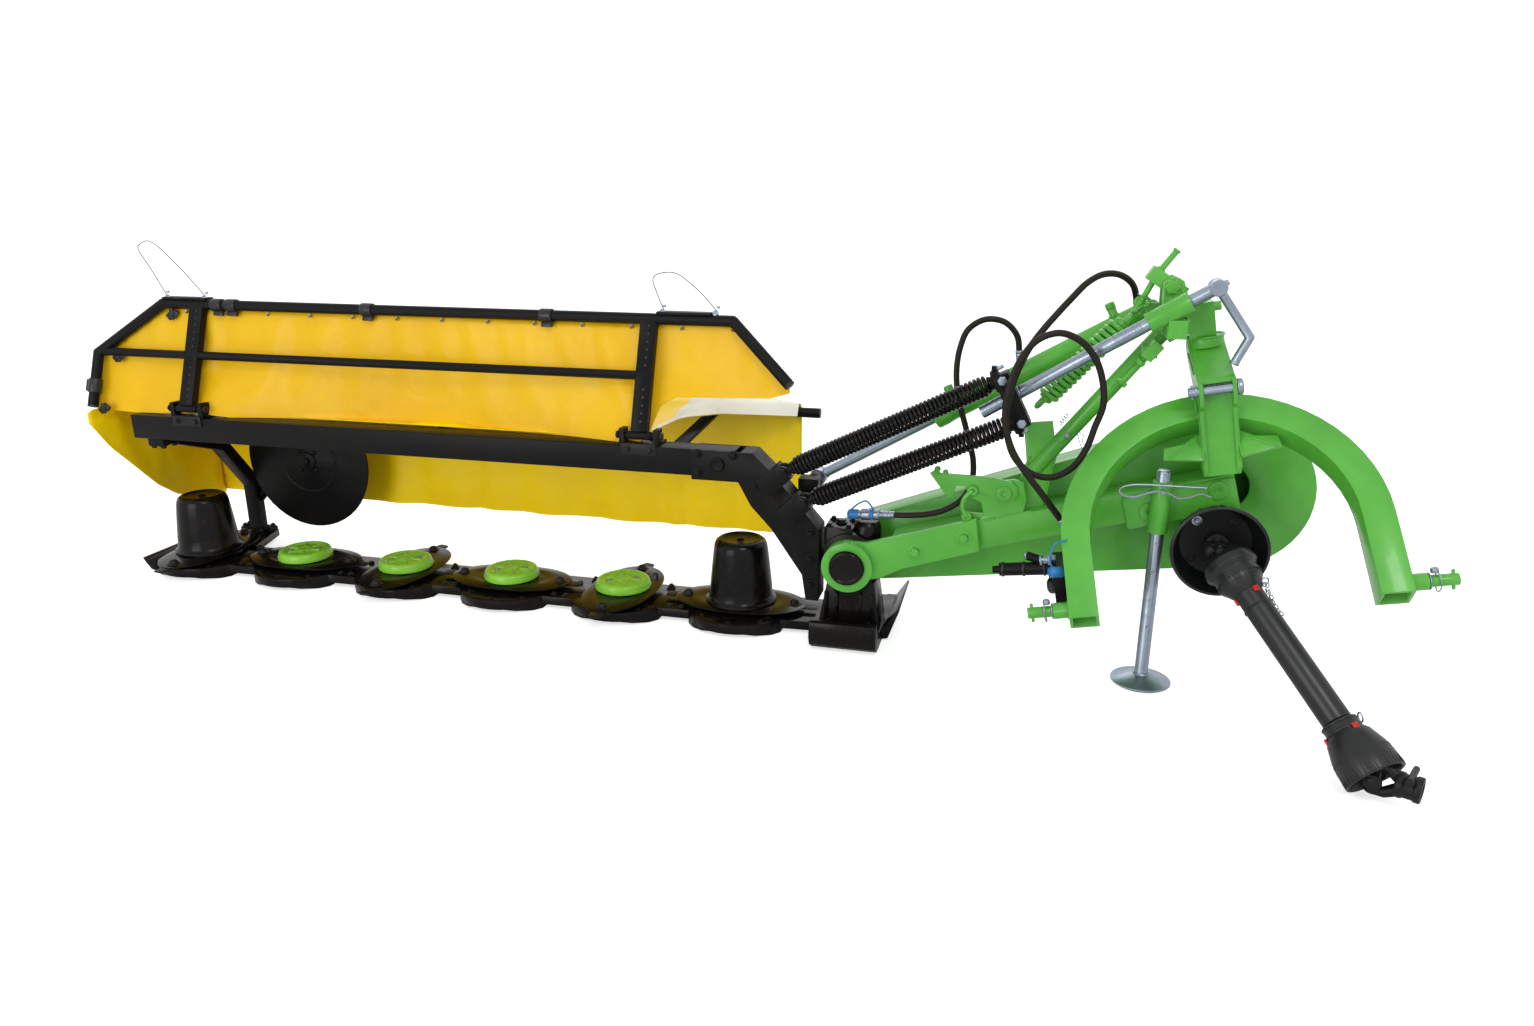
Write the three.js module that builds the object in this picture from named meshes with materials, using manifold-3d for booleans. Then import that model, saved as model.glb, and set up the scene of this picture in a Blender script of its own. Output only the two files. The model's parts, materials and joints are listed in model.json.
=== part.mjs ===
// Rear-mounted disc mower, parked on its cutterbar and stand leg. Millimetres, +Z up.
// X runs along the cutterbar (the cutterbar points to -X), -Y is the tractor side.
import * as THREE from 'three';
import { mergeVertices } from 'three/addons/utils/BufferGeometryUtils.js';
import Module from 'manifold-3d';

const wasm = await Module();
wasm.setup();

// ---------- sizes ----------
const PITCH = 400;            // disc spacing
const DISCS = 6;
const PIVOT = [366, 292];     // lift pivot, x and z, axis along Y
const ROLL = 10.9;            // headstock leans this much while parked, degrees
const HITCH = [1346, -481, 419];
const ARCH_LEAN = 48;         // plane of the arch above level, degrees
const ARCH_R = 375;
const ARCH_W = 70;
const ARCH_D = 80;
const POST_A = 35;            // post and kingpin beside the hitch centre
const KING_B = 401;
const CURTAIN = 6;            // tarpaulin as a closed sheet
const GAP = 0.3;              // clearance between pieces that seat on each other
const ARCH_TOP = 540;         // crown of the arch above the hitch pins, in its plane
const ARCH_WALL = 8;
const HITCH_PIN_R = 14;
const TOP_PIN_R = 12.3;
const JOURNAL_R = 50;         // gearbox journal in the pivot arm's eye
const EYE_R = 75;
const SPINDLE_R = 17;
const SPRING_R = 30;
const STRUT_R = 22;
const STAND_R = 18;
const STAND_WALL = 6.4;
const SHAFT_R = 29;           // inner guard tube of the drive shaft
const SHAFT_WALL = 4.9;
const BOWL_R = 119;
const CYL_R = 32;
const CYL_ROD_R = 15;
const CYL_PIN_R = 12.6;
const CARRIER_W = 99.4;       // carrier beam across and high
const CARRIER_H = 80;
const CARRIER_WALL = 6;
const BEAM = 80;              // side of the guard beam
const BEAM_WALL = 5;
const RAIL_R = 17;
const HINGE_PIN_R = 8;
const SWATH_R = 252;
const DISC_LONG = 213;        // half length and half width of a cutting disc
const DISC_WIDE = 120;
const DRUM_R = 112;
const CAP_R = 91;
const HULL = 5;               // wall of the belt guard

// ---------- colours ----------
const mat = (hex, rough, metal) => new THREE.MeshStandardMaterial({
  color: hex, roughness: rough, metalness: metal });
const GREEN = mat(0x4fae33, 0.35, 0.1);
const BLACK = mat(0x0c0d0f, 0.25, 0.1);
const SATIN = mat(0x17181a, 0.5, 0.1);
const LIME = mat(0x6cbf2a, 0.3, 0.0);
const YELLOW = mat(0xf2b90c, 0.5, 0.0);
const ZINC = mat(0xb9c2cb, 0.3, 0.9);
const RUBBER = mat(0x26211f, 0.6, 0.0);
const PLASTIC = mat(0x141516, 0.4, 0.0);

// ---------- solid helpers ----------
const D2R = Math.PI / 180;
const V = (p) => new THREE.Vector3(p[0], p[1], p[2]);

function solid(geometry) {
  const g = geometry.clone();
  for (const name of Object.keys(g.attributes)) {
    if (name !== 'position') g.deleteAttribute(name);
  }
  const m = mergeVertices(g, 1e-3);
  const mesh = new wasm.Mesh({
    numProp: 3,
    vertProperties: new Float32Array(m.attributes.position.array),
    triVerts: new Uint32Array(m.index.array),
  });
  return new wasm.Manifold(mesh);
}

function box(x0, x1, y0, y1, z0, z1) {
  const g = new THREE.BoxGeometry(x1 - x0, y1 - y0, z1 - z0);
  g.translate((x0 + x1) / 2, (y0 + y1) / 2, (z0 + z1) / 2);
  return solid(g);
}

function rod(a, b, r, n = 16, r2 = r) {
  const A = V(a);
  const B = V(b);
  const dir = B.clone().sub(A);
  const g = new THREE.CylinderGeometry(r2, r, dir.length(), n);
  g.applyQuaternion(new THREE.Quaternion().setFromUnitVectors(
    new THREE.Vector3(0, 1, 0), dir.clone().normalize()));
  const mid = A.add(B).multiplyScalar(0.5);
  g.translate(mid.x, mid.y, mid.z);
  return solid(g);
}

function ball(p, r, n = 12) {
  const g = new THREE.SphereGeometry(r, n, Math.max(6, Math.round(n / 2)));
  g.translate(p[0], p[1], p[2]);
  return solid(g);
}

// bar of w (along side) by h between two points
function stick(a, b, w, h, side = [0, 1, 0]) {
  const A = V(a);
  const B = V(b);
  const x = B.clone().sub(A);
  const len = x.length();
  x.normalize();
  const y = V(side);
  y.addScaledVector(x, -y.dot(x)).normalize();
  const z = new THREE.Vector3().crossVectors(x, y);
  const g = new THREE.BoxGeometry(len, w, h);
  g.applyMatrix4(new THREE.Matrix4().makeBasis(x, y, z));
  const mid = A.add(B).multiplyScalar(0.5);
  g.translate(mid.x, mid.y, mid.z);
  return solid(g);
}

function outline(pts, holes = []) {
  const s = new THREE.Shape(pts.map((p) => new THREE.Vector2(p[0], p[1])));
  for (const h of holes) {
    s.holes.push(new THREE.Path(h.map((p) => new THREE.Vector2(p[0], p[1]))));
  }
  return s;
}

function slab(pts, depth, holes = []) {
  return new THREE.ExtrudeGeometry(outline(pts, holes), { depth, bevelEnabled: false });
}

// flat plates: the outline's plane, then its two faces along the third axis
function plateXY(pts, z0, z1, holes) {
  const g = slab(pts, z1 - z0, holes);
  g.translate(0, 0, z0);
  return solid(g);
}

function plateXZ(pts, y0, y1, holes) {
  const g = slab(pts, y1 - y0, holes);
  g.rotateX(Math.PI / 2);
  g.translate(0, y1, 0);
  return solid(g);
}

function plateYZ(pts, x0, x1, holes) {
  const g = slab(pts, x1 - x0, holes);
  g.applyMatrix4(new THREE.Matrix4().makeBasis(
    new THREE.Vector3(0, 1, 0), new THREE.Vector3(0, 0, 1), new THREE.Vector3(1, 0, 0)));
  g.translate(x0, 0, 0);
  return solid(g);
}

function ring(cx, cy, r, n = 32, from = 0, to = 360) {
  const pts = [];
  const full = Math.abs(to - from) >= 360;
  const steps = full ? n : n + 1;
  for (let i = 0; i < steps; i += 1) {
    const a = (from + ((to - from) * i) / n) * D2R;
    pts.push([cx + r * Math.cos(a), cy + r * Math.sin(a)]);
  }
  return pts;
}

// turned piece: [radius, height] pairs from axis to axis, standing on +Z
function turned(pts, at, n = 32) {
  const g = new THREE.LatheGeometry(pts.map((p) => new THREE.Vector2(p[0], p[1])), n);
  g.rotateX(Math.PI / 2);
  g.translate(at[0], at[1], at[2]);
  return solid(g);
}

// turned piece along a direction from a point
function turnedAlong(pts, at, dir, n = 24) {
  const g = new THREE.LatheGeometry(pts.map((p) => new THREE.Vector2(p[0], p[1])), n);
  g.applyQuaternion(new THREE.Quaternion().setFromUnitVectors(
    new THREE.Vector3(0, 1, 0), V(dir).normalize()));
  g.translate(at[0], at[1], at[2]);
  return solid(g);
}

// round tube through points, with a ball at each corner
function pipe(pts, r, n = 12) {
  let out = null;
  for (let i = 0; i + 1 < pts.length; i += 1) {
    const piece = rod(pts[i], pts[i + 1], r, n);
    out = out ? out.add(piece) : piece;
    if (i > 0) out = out.add(ball(pts[i], r * 1.02, n));
  }
  return out;
}

const HOSE_R = 8.75;

// smooth hose along a curve
function hose(pts, r, steps) {
  const curve = new THREE.CatmullRomCurve3(pts.map(V), false, 'centripetal');
  const section = new THREE.Shape(ring(0, 0, r, 8).map((p) => new THREE.Vector2(p[0], p[1])));
  return solid(new THREE.ExtrudeGeometry(section, {
    steps, extrudePath: curve, bevelEnabled: false }));
}

const join = (...list) => list.reduce((a, b) => a.add(b));
const lerp = (a, b, t) => a.map((v, i) => v + (b[i] - v) * t);
const along = (a, b, mm) => {
  const d = Math.hypot(...a.map((v, i) => b[i] - v));
  return lerp(a, b, mm / d);
};

// headstock frame: a to the right, b rearward, c up, leaning by ROLL
const cr = Math.cos(ROLL * D2R);
const sr = Math.sin(ROLL * D2R);
const H = new THREE.Matrix4().makeBasis(
  new THREE.Vector3(cr, 0, sr), new THREE.Vector3(0, 1, 0), new THREE.Vector3(-sr, 0, cr));
H.setPosition(HITCH[0], HITCH[1], HITCH[2]);
const hs = (p) => {
  const v = V(p).applyMatrix4(H);
  return [v.x, v.y, v.z];
};
const toH = (m) => m.transform(H.elements);

// ---------- nodes ----------
const group = new THREE.Group();
group.name = 'disc_mower';
const made = new Map();

function put(name, body, material) {
  made.set(name, { body, material });
}

// ===== headstock =====
const lean = ARCH_LEAN * D2R;
// arch plane: s up the lean, n out of its front face
const A = new THREE.Matrix4().makeBasis(
  new THREE.Vector3(1, 0, 0),
  new THREE.Vector3(0, Math.cos(lean), Math.sin(lean)),
  new THREE.Vector3(0, -Math.sin(lean), Math.cos(lean)));

function archSolid(grow) {
  const outer = ARCH_R + grow;
  const inner = ARCH_R - ARCH_W - grow;
  const bend = ARCH_TOP - ARCH_R;
  const pts = [[outer, -35], ...ring(0, bend, outer, 28, 0, 180), [-outer, -35],
    [-inner, -35], ...ring(0, bend, inner, 28, 180, 0), [inner, -35]];
  const g = slab(pts, ARCH_D + 2 * grow);
  g.translate(0, 0, 40 - ARCH_D - grow);
  g.applyMatrix4(A);
  return solid(g);
}

let arch = archSolid(0).subtract(archSolid(-ARCH_WALL));
// bosses that carry the lower hitch pins
for (const s of [-1, 1]) {
  arch = arch.add(rod([s * (ARCH_R - 2), 0, 0], [s * (ARCH_R + 37), 0, 0], HITCH_PIN_R + 6, 20));
}
put('hitch_arch', toH(arch), GREEN);

for (const [name, s] of [['lower_hitch_pin_left', -1], ['lower_hitch_pin_right', 1]]) {
  const x0 = s * (ARCH_R + 37 + GAP);
  const x1 = s * (ARCH_R + 37 + 62);
  const pin = rod([x0, 0, 0], [x1, 0, 0], HITCH_PIN_R, 16);
  const linch = rod([x1 - s * 11, 0, HITCH_PIN_R + 10], [x1 - s * 11, 0, -HITCH_PIN_R - 10], 4, 10);
  put(name, toH(pin.add(linch)), GREEN);
}

// post: box, two cheeks, channel that slopes rearward to the kingpin's round base
const pa = POST_A;
const postBox = box(pa - 34, pa + 34, 266, 336, 226, 470);
const cheekShape = [[236, 412], [228, 430], [228, 470], [240, 480], [262, 486],
  [395, 552], [440, 552], [440, 520], [350, 440], [350, 245], [300, 226], [266, 226], [256, 250],
  [256, 400]];
const cheekL = plateYZ(cheekShape, pa - 44, pa - 34);
const cheekR = plateYZ(cheekShape, pa + 34, pa + 44);
const channelTop = plateYZ([[240, 470], [262, 478], [400, 544], [440, 544], [440, 552], [395, 552],
  [262, 486], [240, 480]], pa - 36, pa + 36);
const base = rod([pa, KING_B, 540], [pa, KING_B, 566], 46, 28);
const lowerLug = box(pa - 34, pa + 34, 300, 445, 226, 240);
const cutArch = archSolid(GAP);
const postSolid = join(postBox, cheekL, cheekR, channelTop, base, lowerLug);
put('mast_post', toH(postSolid.subtract(cutArch)
  .subtract(rod([pa - 60, 246, 453], [pa + 60, 246, 453], TOP_PIN_R + GAP, 20))), GREEN);

// gusset plates between arch and post
const gus = (s) => {
  const x = pa + s * 44.4;
  const g = plateXY([[x, 366], [x + s * 95, 382], [x + s * 90, 414], [x + s * 40, 420],
    [x, 445]], -2, 8);
  return g.transform(new THREE.Matrix4().multiplyMatrices(A, new THREE.Matrix4()).elements)
    .subtract(cutArch);
};
put('arch_gusset_left', toH(gus(-1)), GREEN);
put('arch_gusset_right', toH(gus(1)), GREEN);

// top-link pin
put('top_link_pin', toH(join(
  rod([pa - 66, 246, 453], [pa + 56, 246, 453], TOP_PIN_R, 20),
  rod([pa + 45, 246, 453], [pa + 56, 246, 453], TOP_PIN_R + 8.7, 20))), ZINC);

// ===== carrier =====
const beamA = [500, -80, 343];
const beamB = [1390, -80, 593];
const carrierBeam = stick(beamA, beamB, CARRIER_W, CARRIER_H).subtract(
  stick(lerp(beamA, beamB, -0.02), lerp(beamA, beamB, 1.02), CARRIER_W - 2 * CARRIER_WALL,
    CARRIER_H - 2 * CARRIER_WALL));
const carrierFace = -80 - CARRIER_W / 2;   // its face on the tractor side
// front doubler at the right, hook plate pair, gusset under the strut
const dir = V(beamB).sub(V(beamA)).normalize();
const onBeam = (u, v, y) => [beamA[0] + dir.x * u - dir.z * v, y, beamA[2] + dir.z * u + dir.x * v];
const doubler = stick(onBeam(640, -14, -134), onBeam(924, -10, -134), 9, 84);
const hookBase = plateXZ([[712, 424], [847, 466], [858, 520], [846, 570], [822, 577], [730, 560],
  [690, 545], [700, 520], [736, 505], [744, 470]], -126, -116);
const gusset = plateXZ([[800, 440], [900, 470], [930, 640], [912, 738], [835, 728], [850, 620]],
  -86, -74);
const hookLever = plateXZ([[590, 582], [606, 594], [618, 584], [673, 583], [766, 581], [791, 575],
  [816, 572], [830, 557], [833, 538], [822, 516], [797, 515], [744, 533], [691, 547], [690, 551],
  [666, 551], [659, 531], [652, 516], [642, 515]], -134, -125);
const beamAll = join(carrierBeam, doubler, hookBase, hookLever, gusset);
// room for the lower kingpin lug
const kingTop = rod(hs([pa, KING_B, 219]), hs([pa, KING_B, 300]), 60, 24);
put('carrier_beam', beamAll.subtract(kingTop), GREEN);

const ringPts = ring(PIVOT[0], PIVOT[1], EYE_R, 32, 75, 330);
const armPts = [...ringPts, [464, 262], [521, 295], [739, 368], [725, 462], [518, 396],
  [421, 366]];
const arm = plateXZ(armPts, -150, -130.3);
const eye = rod([PIVOT[0], -172, PIVOT[1]], [PIVOT[0], -130.3, PIVOT[1]], EYE_R, 36);
const eyeHole = rod([PIVOT[0], -200, PIVOT[1]], [PIVOT[0], -100, PIVOT[1]], JOURNAL_R + 2, 36);
put('pivot_arm', arm.add(eye).subtract(eyeHole), GREEN);

// belt guard
const bowlC = [1352, -232, 447];   // drive shaft joint at the input
const hullOf = (list) => wasm.Manifold.hull(list);
const guardShape = (inset) => hullOf([
  rod([378, inset, 290], [378, 105 - inset, 290], 95 - inset, 32),
  rod([1402, inset, 545], [1402, 105 - inset, 545], 215 - inset, 48)]);
const guardBody = guardShape(0).subtract(guardShape(HULL));
const guardHole = rod([bowlC[0] + 33, -5, 560], [bowlC[0] + 33, 60, 560], 62, 28);
const guardTie = (x, z) => box(x - 25, x + 25, GAP - 30, HULL / 2, z - 25, z + 25);
put('belt_guard', join(guardBody.subtract(guardHole), guardTie(640, 372), guardTie(1150, 520)),
  GREEN);

// diagonal strut
const strutA = [868, -80, 594];
const strutB = [1168, -80, 985];
put('diagonal_strut', rod(strutA, strutB, STRUT_R, 20).subtract(
  plateXZ([[790, 430], [910, 460], [936, 640], [915, 745], [825, 735], [840, 620]],
    -86.3, -73.7)), GREEN);

// mast head, in the headstock frame, turning on the kingpin
const headBlock = box(pa - 40, pa + 24, 365, 440, 566.3, 655);
const headNose = rod([pa + 24, 401, 638], [pa + 44, 401, 638], 12, 16);
const head = toH(join(headBlock, headNose));
const trun = [1190, -190, 1010];
const trunArm = stick([1190, -215, 1010], [1190, -60, 1010], 46, 46, [1, 0, 0]);
const headTie = stick([1172, -80, 985], [1244, -80, 1032], 60, 50);
const lugShape = [[1158, 985], [1236, 990], [1230, 1050], [1204, 1122], [1180, 1132],
  [1154, 1120]];
const lugTop = plateXZ(lugShape, -118, -104).add(plateXZ(lugShape, -56, -42));
const topA = [1122, -80, 1141];
const topB = [1210, -80, 1085];
const topPiv = lerp(topA, topB, 0.62);
const spinA = [725, -190, 774];
const spinB = [1277, -190, 1116];
const spinDir = V(spinB).sub(V(spinA)).normalize();
const onSpin = (u, y = -190, v = 0) => [spinA[0] + spinDir.x * u - spinDir.z * v, y,
  spinA[2] + spinDir.z * u + spinDir.x * v];
const spinLen = V(spinB).distanceTo(V(spinA));
const trunTube = rod(onSpin(466), onSpin(576), SPINDLE_R + 10, 20);
const trunHole = rod(onSpin(450), onSpin(600), SPINDLE_R + 1, 20);
const strutRoom = rod(strutA, along(strutA, strutB, 2000), STRUT_R + GAP, 20);
const barPinHole = rod([topPiv[0], -130, topPiv[2]], [topPiv[0], -30, topPiv[2]], 13.3, 16);
put('mast_head', join(head, trunArm, headTie, lugTop, trunTube).subtract(trunHole)
  .subtract(strutRoom).subtract(barPinHole), GREEN);

// threaded spindle with its crank
const hub = onSpin(spinLen - 4);
const crank1 = [1359, -205, 996];
const crank2 = [1330, -215, 935];
put('tension_spindle', join(
  rod(spinA, spinB, SPINDLE_R, 20),
  rod([hub[0], -215, hub[2]], [hub[0], -165, hub[2]], 20, 16),
  pipe([[hub[0], -200, hub[2]], crank1, crank2], 11, 12)), ZINC);

// yoke block on the spindle's thread
const yokeU = [774, -190, 867];
const yokeL = [830, -190, 757];
const yoke = join(
  stick(lerp(yokeU, yokeL, -0.12), lerp(yokeU, yokeL, 1.12), 62, 40),
  rod([yokeU[0], -226, yokeU[2]], [yokeU[0], -154, yokeU[2]], 14, 16),
  rod([yokeL[0], -226, yokeL[2]], [yokeL[0], -154, yokeL[2]], 14, 16));
put('spring_yoke', yoke.subtract(rod(onSpin(-50), onSpin(400), SPINDLE_R + GAP, 20)), SATIN);

// balance springs between the bracket and the yoke
const sprU = [[181, -190, 573], yokeU];
const sprL = [[240, -190, 488], yokeL];
const springBody = ([a, b], r, cutA, cutB) => {
  const d = V(a).distanceTo(V(b));
  return rod(along(a, b, cutA), along(a, b, d - cutB), r, 24);
};
put('balance_spring_upper', springBody(sprU, SPRING_R, 14.6, 28), BLACK);
put('balance_spring_lower', springBody(sprL, SPRING_R, 14.6, 28), BLACK);

// relief spring, hook link, top bar and eyebolt
const relA = [867, -80, 777];
const relB = [1088, -80, 1030];
put('relief_spring', rod(along(relA, relB, 12), relB, 31, 24), GREEN);
put('tension_bar', join(
  stick(topA, topB, 44, 38),
  rod([topPiv[0], -124, topPiv[2]], [topPiv[0], -36, topPiv[2]], 13, 16),
  rod([1112, -80, 1072], [1142, -80, 1137], 8, 12),
  rod([1138, -80, 1130], [1181, -80, 1192], 8, 12),
  rod(along(relB, [1112, -80, 1072], 2.2), [1113, -80, 1074], 9, 12)), GREEN);

// adjusting bolt beside the strut
put('adjuster_bolt', join(
  rod([1076, -128, 860], [1150, -128, 955], 8, 12),
  rod([1064, -128, 870], [1088, -128, 850], 7, 12),
  stick([1128, -128, 927], [1158, -128, 965], 46, 32),
  box(1118, 1158, -129, -98, 925, 955)).subtract(strutRoom), GREEN);

// stand leg and its sleeve
const standX = 1202;
const standBore = STAND_R + 0.6;
const standY = carrierFace - 4.3 - GAP - standBore - STAND_WALL - 6.4;
const sleeve = rod([standX, standY, 468], [standX, standY, 610], standBore + STAND_WALL, 24)
  .subtract(rod([standX, standY, 400], [standX, standY, 700], standBore, 24));
const sleeveLug = box(standX - 20, standX + 20, standY + standBore + 1, carrierFace - 9 - GAP, 480, 590)
  .subtract(rod([standX, standY, 400], [standX, standY, 700], standBore + STAND_WALL / 2, 24));
put('stand_sleeve', sleeve.add(sleeveLug), GREEN);
put('stand_leg', join(
  rod([standX, standY, 38], [standX, standY, 632], STAND_R, 24),
  turned([[0, 0], [74, 0], [80, 4], [80, 8], [50, 16], [STAND_R + 6, 26], [0, 26]],
    [standX, standY, 30], 32)), ZINC);

// drive shaft guard and input
const shaftDir = V([1656, -662, 92]).sub(V(bowlC)).normalize();
const onShaft = (u) => [bowlC[0] + shaftDir.x * u, bowlC[1] + shaftDir.y * u,
  bowlC[2] + shaftDir.z * u];
const bowlShell = turnedAlong([[0, 0], [BOWL_R, 0], [BOWL_R + 2, 6], [BOWL_R - 11, 60], [BOWL_R - 23, 92],
  [0, 92]],
  [bowlC[0], bowlC[1], bowlC[2]], [0, 1, 0], 36);
const bowlRoom = turnedAlong([[0, -20], [BOWL_R - 5, -20], [BOWL_R - 5, 0],
  [BOWL_R - 17, 58], [BOWL_R - 29, 86], [0, 86]],
  [bowlC[0], bowlC[1], bowlC[2]], [0, 1, 0], 36);
const bowlNeck = rod([bowlC[0], -142, bowlC[2]], [bowlC[0], -GAP, bowlC[2]], 60, 28);
put('driveline_guard_bowl', bowlShell.subtract(bowlRoom).add(bowlNeck), PLASTIC);
put('driveline_input_yoke', join(
  rod([bowlC[0], -146.3, bowlC[2]], [bowlC[0], -178, bowlC[2]], 30, 20),
  box(bowlC[0] - 34, bowlC[0] + 34, -206, -172, bowlC[2] - 12, bowlC[2] + 12),
  rod([bowlC[0], -206, bowlC[2]], [bowlC[0], -232, bowlC[2]], 15, 16),
  ball(bowlC, 17, 16)), SATIN);

const coneProfile = [[0, 17.3], [48, 17.3], [66, 36], [68, 58], [56, 70], [58, 88], [54, 104],
  [40, 128], [SHAFT_R + 0.6 + SHAFT_WALL, 134], [SHAFT_R + 0.6 + SHAFT_WALL, 500],
  [SHAFT_R + 0.6, 500], [SHAFT_R + 0.6, 200], [0, 200]];
put('driveline_outer_tube', turnedAlong(coneProfile, bowlC,
  [shaftDir.x, shaftDir.y, shaftDir.z], 28), PLASTIC);
const farProfile = [[0, 210], [SHAFT_R, 210], [SHAFT_R, 503], [41, 503], [41, 528], [52, 542], [64, 580],
  [68, 604], [68, 642], [62, 642], [60, 604], [40, 570], [0, 570]];
put('driveline_inner_tube', turnedAlong(farProfile, bowlC,
  [shaftDir.x, shaftDir.y, shaftDir.z], 28), PLASTIC);
const yokeAt = onShaft(640);
put('driveline_end_yoke', join(
  rod(onShaft(570.3), yokeAt, 20, 16),
  ball(yokeAt, 22, 12),
  stick(yokeAt, [yokeAt[0] + 40, yokeAt[1] - 20, yokeAt[2]], 60, 24, [0.4, 0.9, 0]),
  rod([yokeAt[0] + 36, yokeAt[1] - 18, yokeAt[2]], [yokeAt[0] + 84, yokeAt[1] - 42, yokeAt[2]],
    29, 20)), SATIN);

// ===== cutterbar unit =====
const discX = (k) => -PITCH * (DISCS - k);
const X1 = discX(1);           // everything at the outer end is set out from the first disc
const front = [];
for (let k = 1; k <= DISCS; k += 1) {
  front.push(...ring(discX(k), 0, 172, 12, 210, 330));
}
const barOutline = [...front, [262, -80], [262, 112], [X1 - 130, 112], [X1 - 165, 60], [X1 - 165, -60]];
const bar = plateXY(barOutline, 44, 72);
const skidShape = [[-180, 56], [-172, 48], [-150, 38], [-110, 30], [70, 30], [112, 42],
  [112, 52], [-100, 52]];
let cutterbar = bar;
for (let k = 1; k <= DISCS; k += 1) {
  const foot = plateYZ(skidShape, discX(k) - 150, discX(k) + 150)
    .intersect(rod([discX(k), 0, -5], [discX(k), 0, 45], 172, 24));
  cutterbar = cutterbar.add(foot);
  cutterbar = cutterbar.add(rod([discX(k), 0, 70], [discX(k), 0, 83.7], 60, 16));
}
const outerShoe = plateXZ([[X1 - 140, 31], [X1 - 165, 38], [X1 - 188, 66], [X1 - 194, 79], [X1 - 184, 80.5],
  [X1 - 172, 74], [X1 - 140, 72]], -110, 100);
const rearLug = plateXY([[X1 - 130, 100], [X1 - 90, 312], [X1 + 40, 312], [X1 + 100, 100]], 46, 72);
put('cutterbar', join(cutterbar, outerShoe, rearLug), BLACK);

for (let k = 1; k <= DISCS; k += 1) {
  const x = discX(k);
  const g = new THREE.CylinderGeometry(1, 1, 8, 40);
  g.rotateX(Math.PI / 2);
  g.scale(DISC_LONG, DISC_WIDE, 1);
  g.translate(0, 0, 94);
  let disc = solid(g).add(rod([0, 0, 84], [0, 0, 92], 72, 20));
  for (const s of [-1, 1]) {
    disc = disc.add(box(Math.min(s * (DISC_LONG - 63), s * (DISC_LONG + 37)),
      Math.max(s * (DISC_LONG - 63), s * (DISC_LONG + 37)), -23, 23, 86, 91));
    disc = disc.add(turned([[0, 96], [20, 96], [18, 104], [10, 110], [0, 111]],
      [s * (DISC_LONG - 38), 0, 0], 10));
  }
  const turn = (DISCS - k) % 2 === 0 ? 0 : 90;
  put(`disc_${k}`, disc.rotate([0, 0, turn]).translate([x, 0, 0]), BLACK);
  if (k === 1 || k === DISCS) {
    put(`disc_drum_${k}`, turned([[0, 98 + GAP], [DRUM_R, 98 + GAP], [DRUM_R, 104], [DRUM_R - 9, 112],
      [DRUM_R - 14, 150], [DRUM_R - 28, 270], [DRUM_R - 34, 288], [DRUM_R - 46, 298],
      [DRUM_R - 62, 300], [0, 300]], [x, 0, 0], 28).subtract(turned([[0, 90], [DRUM_R - 18, 90],
      [DRUM_R - 18, 150], [DRUM_R - 32, 270], [DRUM_R - 48, 294], [0, 294]], [x, 0, 0], 28)), BLACK);
  } else {
    put(`disc_cap_${k}`, turned([[0, 98 + GAP], [CAP_R - 3, 98 + GAP], [CAP_R, 103], [CAP_R - 5, 122],
      [CAP_R - 13, 128], [CAP_R - 47, 129], [CAP_R - 53, 125], [0, 125]], [x, 0, 0], 28).subtract(
      turned([[0, 90], [CAP_R - 9, 90], [CAP_R - 10, 118], [0, 118]], [x, 0, 0], 24)), LIME);
  }
}

// inner shoe
const shoeSide = [[-208, 78], [-198, 52], [-170, 34], [-140, 30], [160, 30], [205, 45],
  [215, 66], [190, 78], [-130, 78], [-160, 96], [-185, 126], [-202, 124]];
const shoe = plateYZ(shoeSide, 262.3, 462);
const shoeFlare = plateXZ([[440, 60], [462, 34], [480, 38], [512, 128], [506, 132], [470, 78],
  [440, 78]], -70, 200);
put('inner_shoe', shoe.add(shoeFlare), BLACK);

// gearbox with the journal that the pivot arm's ring turns on
const gbLower = hullOf([
  box(276, 458, -116, 8, 78.3, 96),
  box(300, 440, -112, -8, 190, 230)]);
const gbBell = turned([[0, 78.3], [66, 78.3], [66, 96], [56, 150], [50, 190], [0, 190]],
  [366, -58, 0], 24);
const gbDrum = rod([PIVOT[0], -124, PIVOT[1]], [PIVOT[0], -8, PIVOT[1]], 88, 32);
const gbTop = box(288, 372, -112, -12, 300, 392);
const gbDome = turned([[0, 300], [42, 300], [42, 392], [32, 408], [0, 412]], [408, -62, 0], 20);
const journal = rod([PIVOT[0], -180, PIVOT[1]], [PIVOT[0], -110, PIVOT[1]], JOURNAL_R, 36);
put('gearbox', join(gbLower, gbBell, gbDrum, gbTop, gbDome, journal), BLACK);

// inner bracket: box arm bent up and over to the guard beam
const bracketOuter = [[-110, 610], [76, 610], [137, 552], [262, 410], [277.7, 392], [277.7, 170],
  [240, 170], [228, 248], [134, 384], [72, 450], [34, 520], [-110, 520]];
const bracketArm = plateXZ(bracketOuter, -144, -56);
const springLugs = join(
  stick([117, -162, 514], [181, -162, 573], 40, 60),
  stick([177, -162, 430], [240, -162, 488], 40, 60),
  rod([181, -226, 573], [181, -148, 573], 12, 16),
  rod([240, -226, 488], [240, -148, 488], 12, 16));
const cylLug = join(
  box(196, 256, -60, -6, 452, 520),
  rod([235, -10, 499], [235, 32, 499], 24, 20));
const beamZ = 570;
const beamY = -100;
const beamSocket = box(-400, 40, beamY - BEAM / 2 - GAP, beamY + BEAM / 2 + GAP,
  beamZ - BEAM / 2 - GAP, beamZ + BEAM / 2 + GAP);
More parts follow.
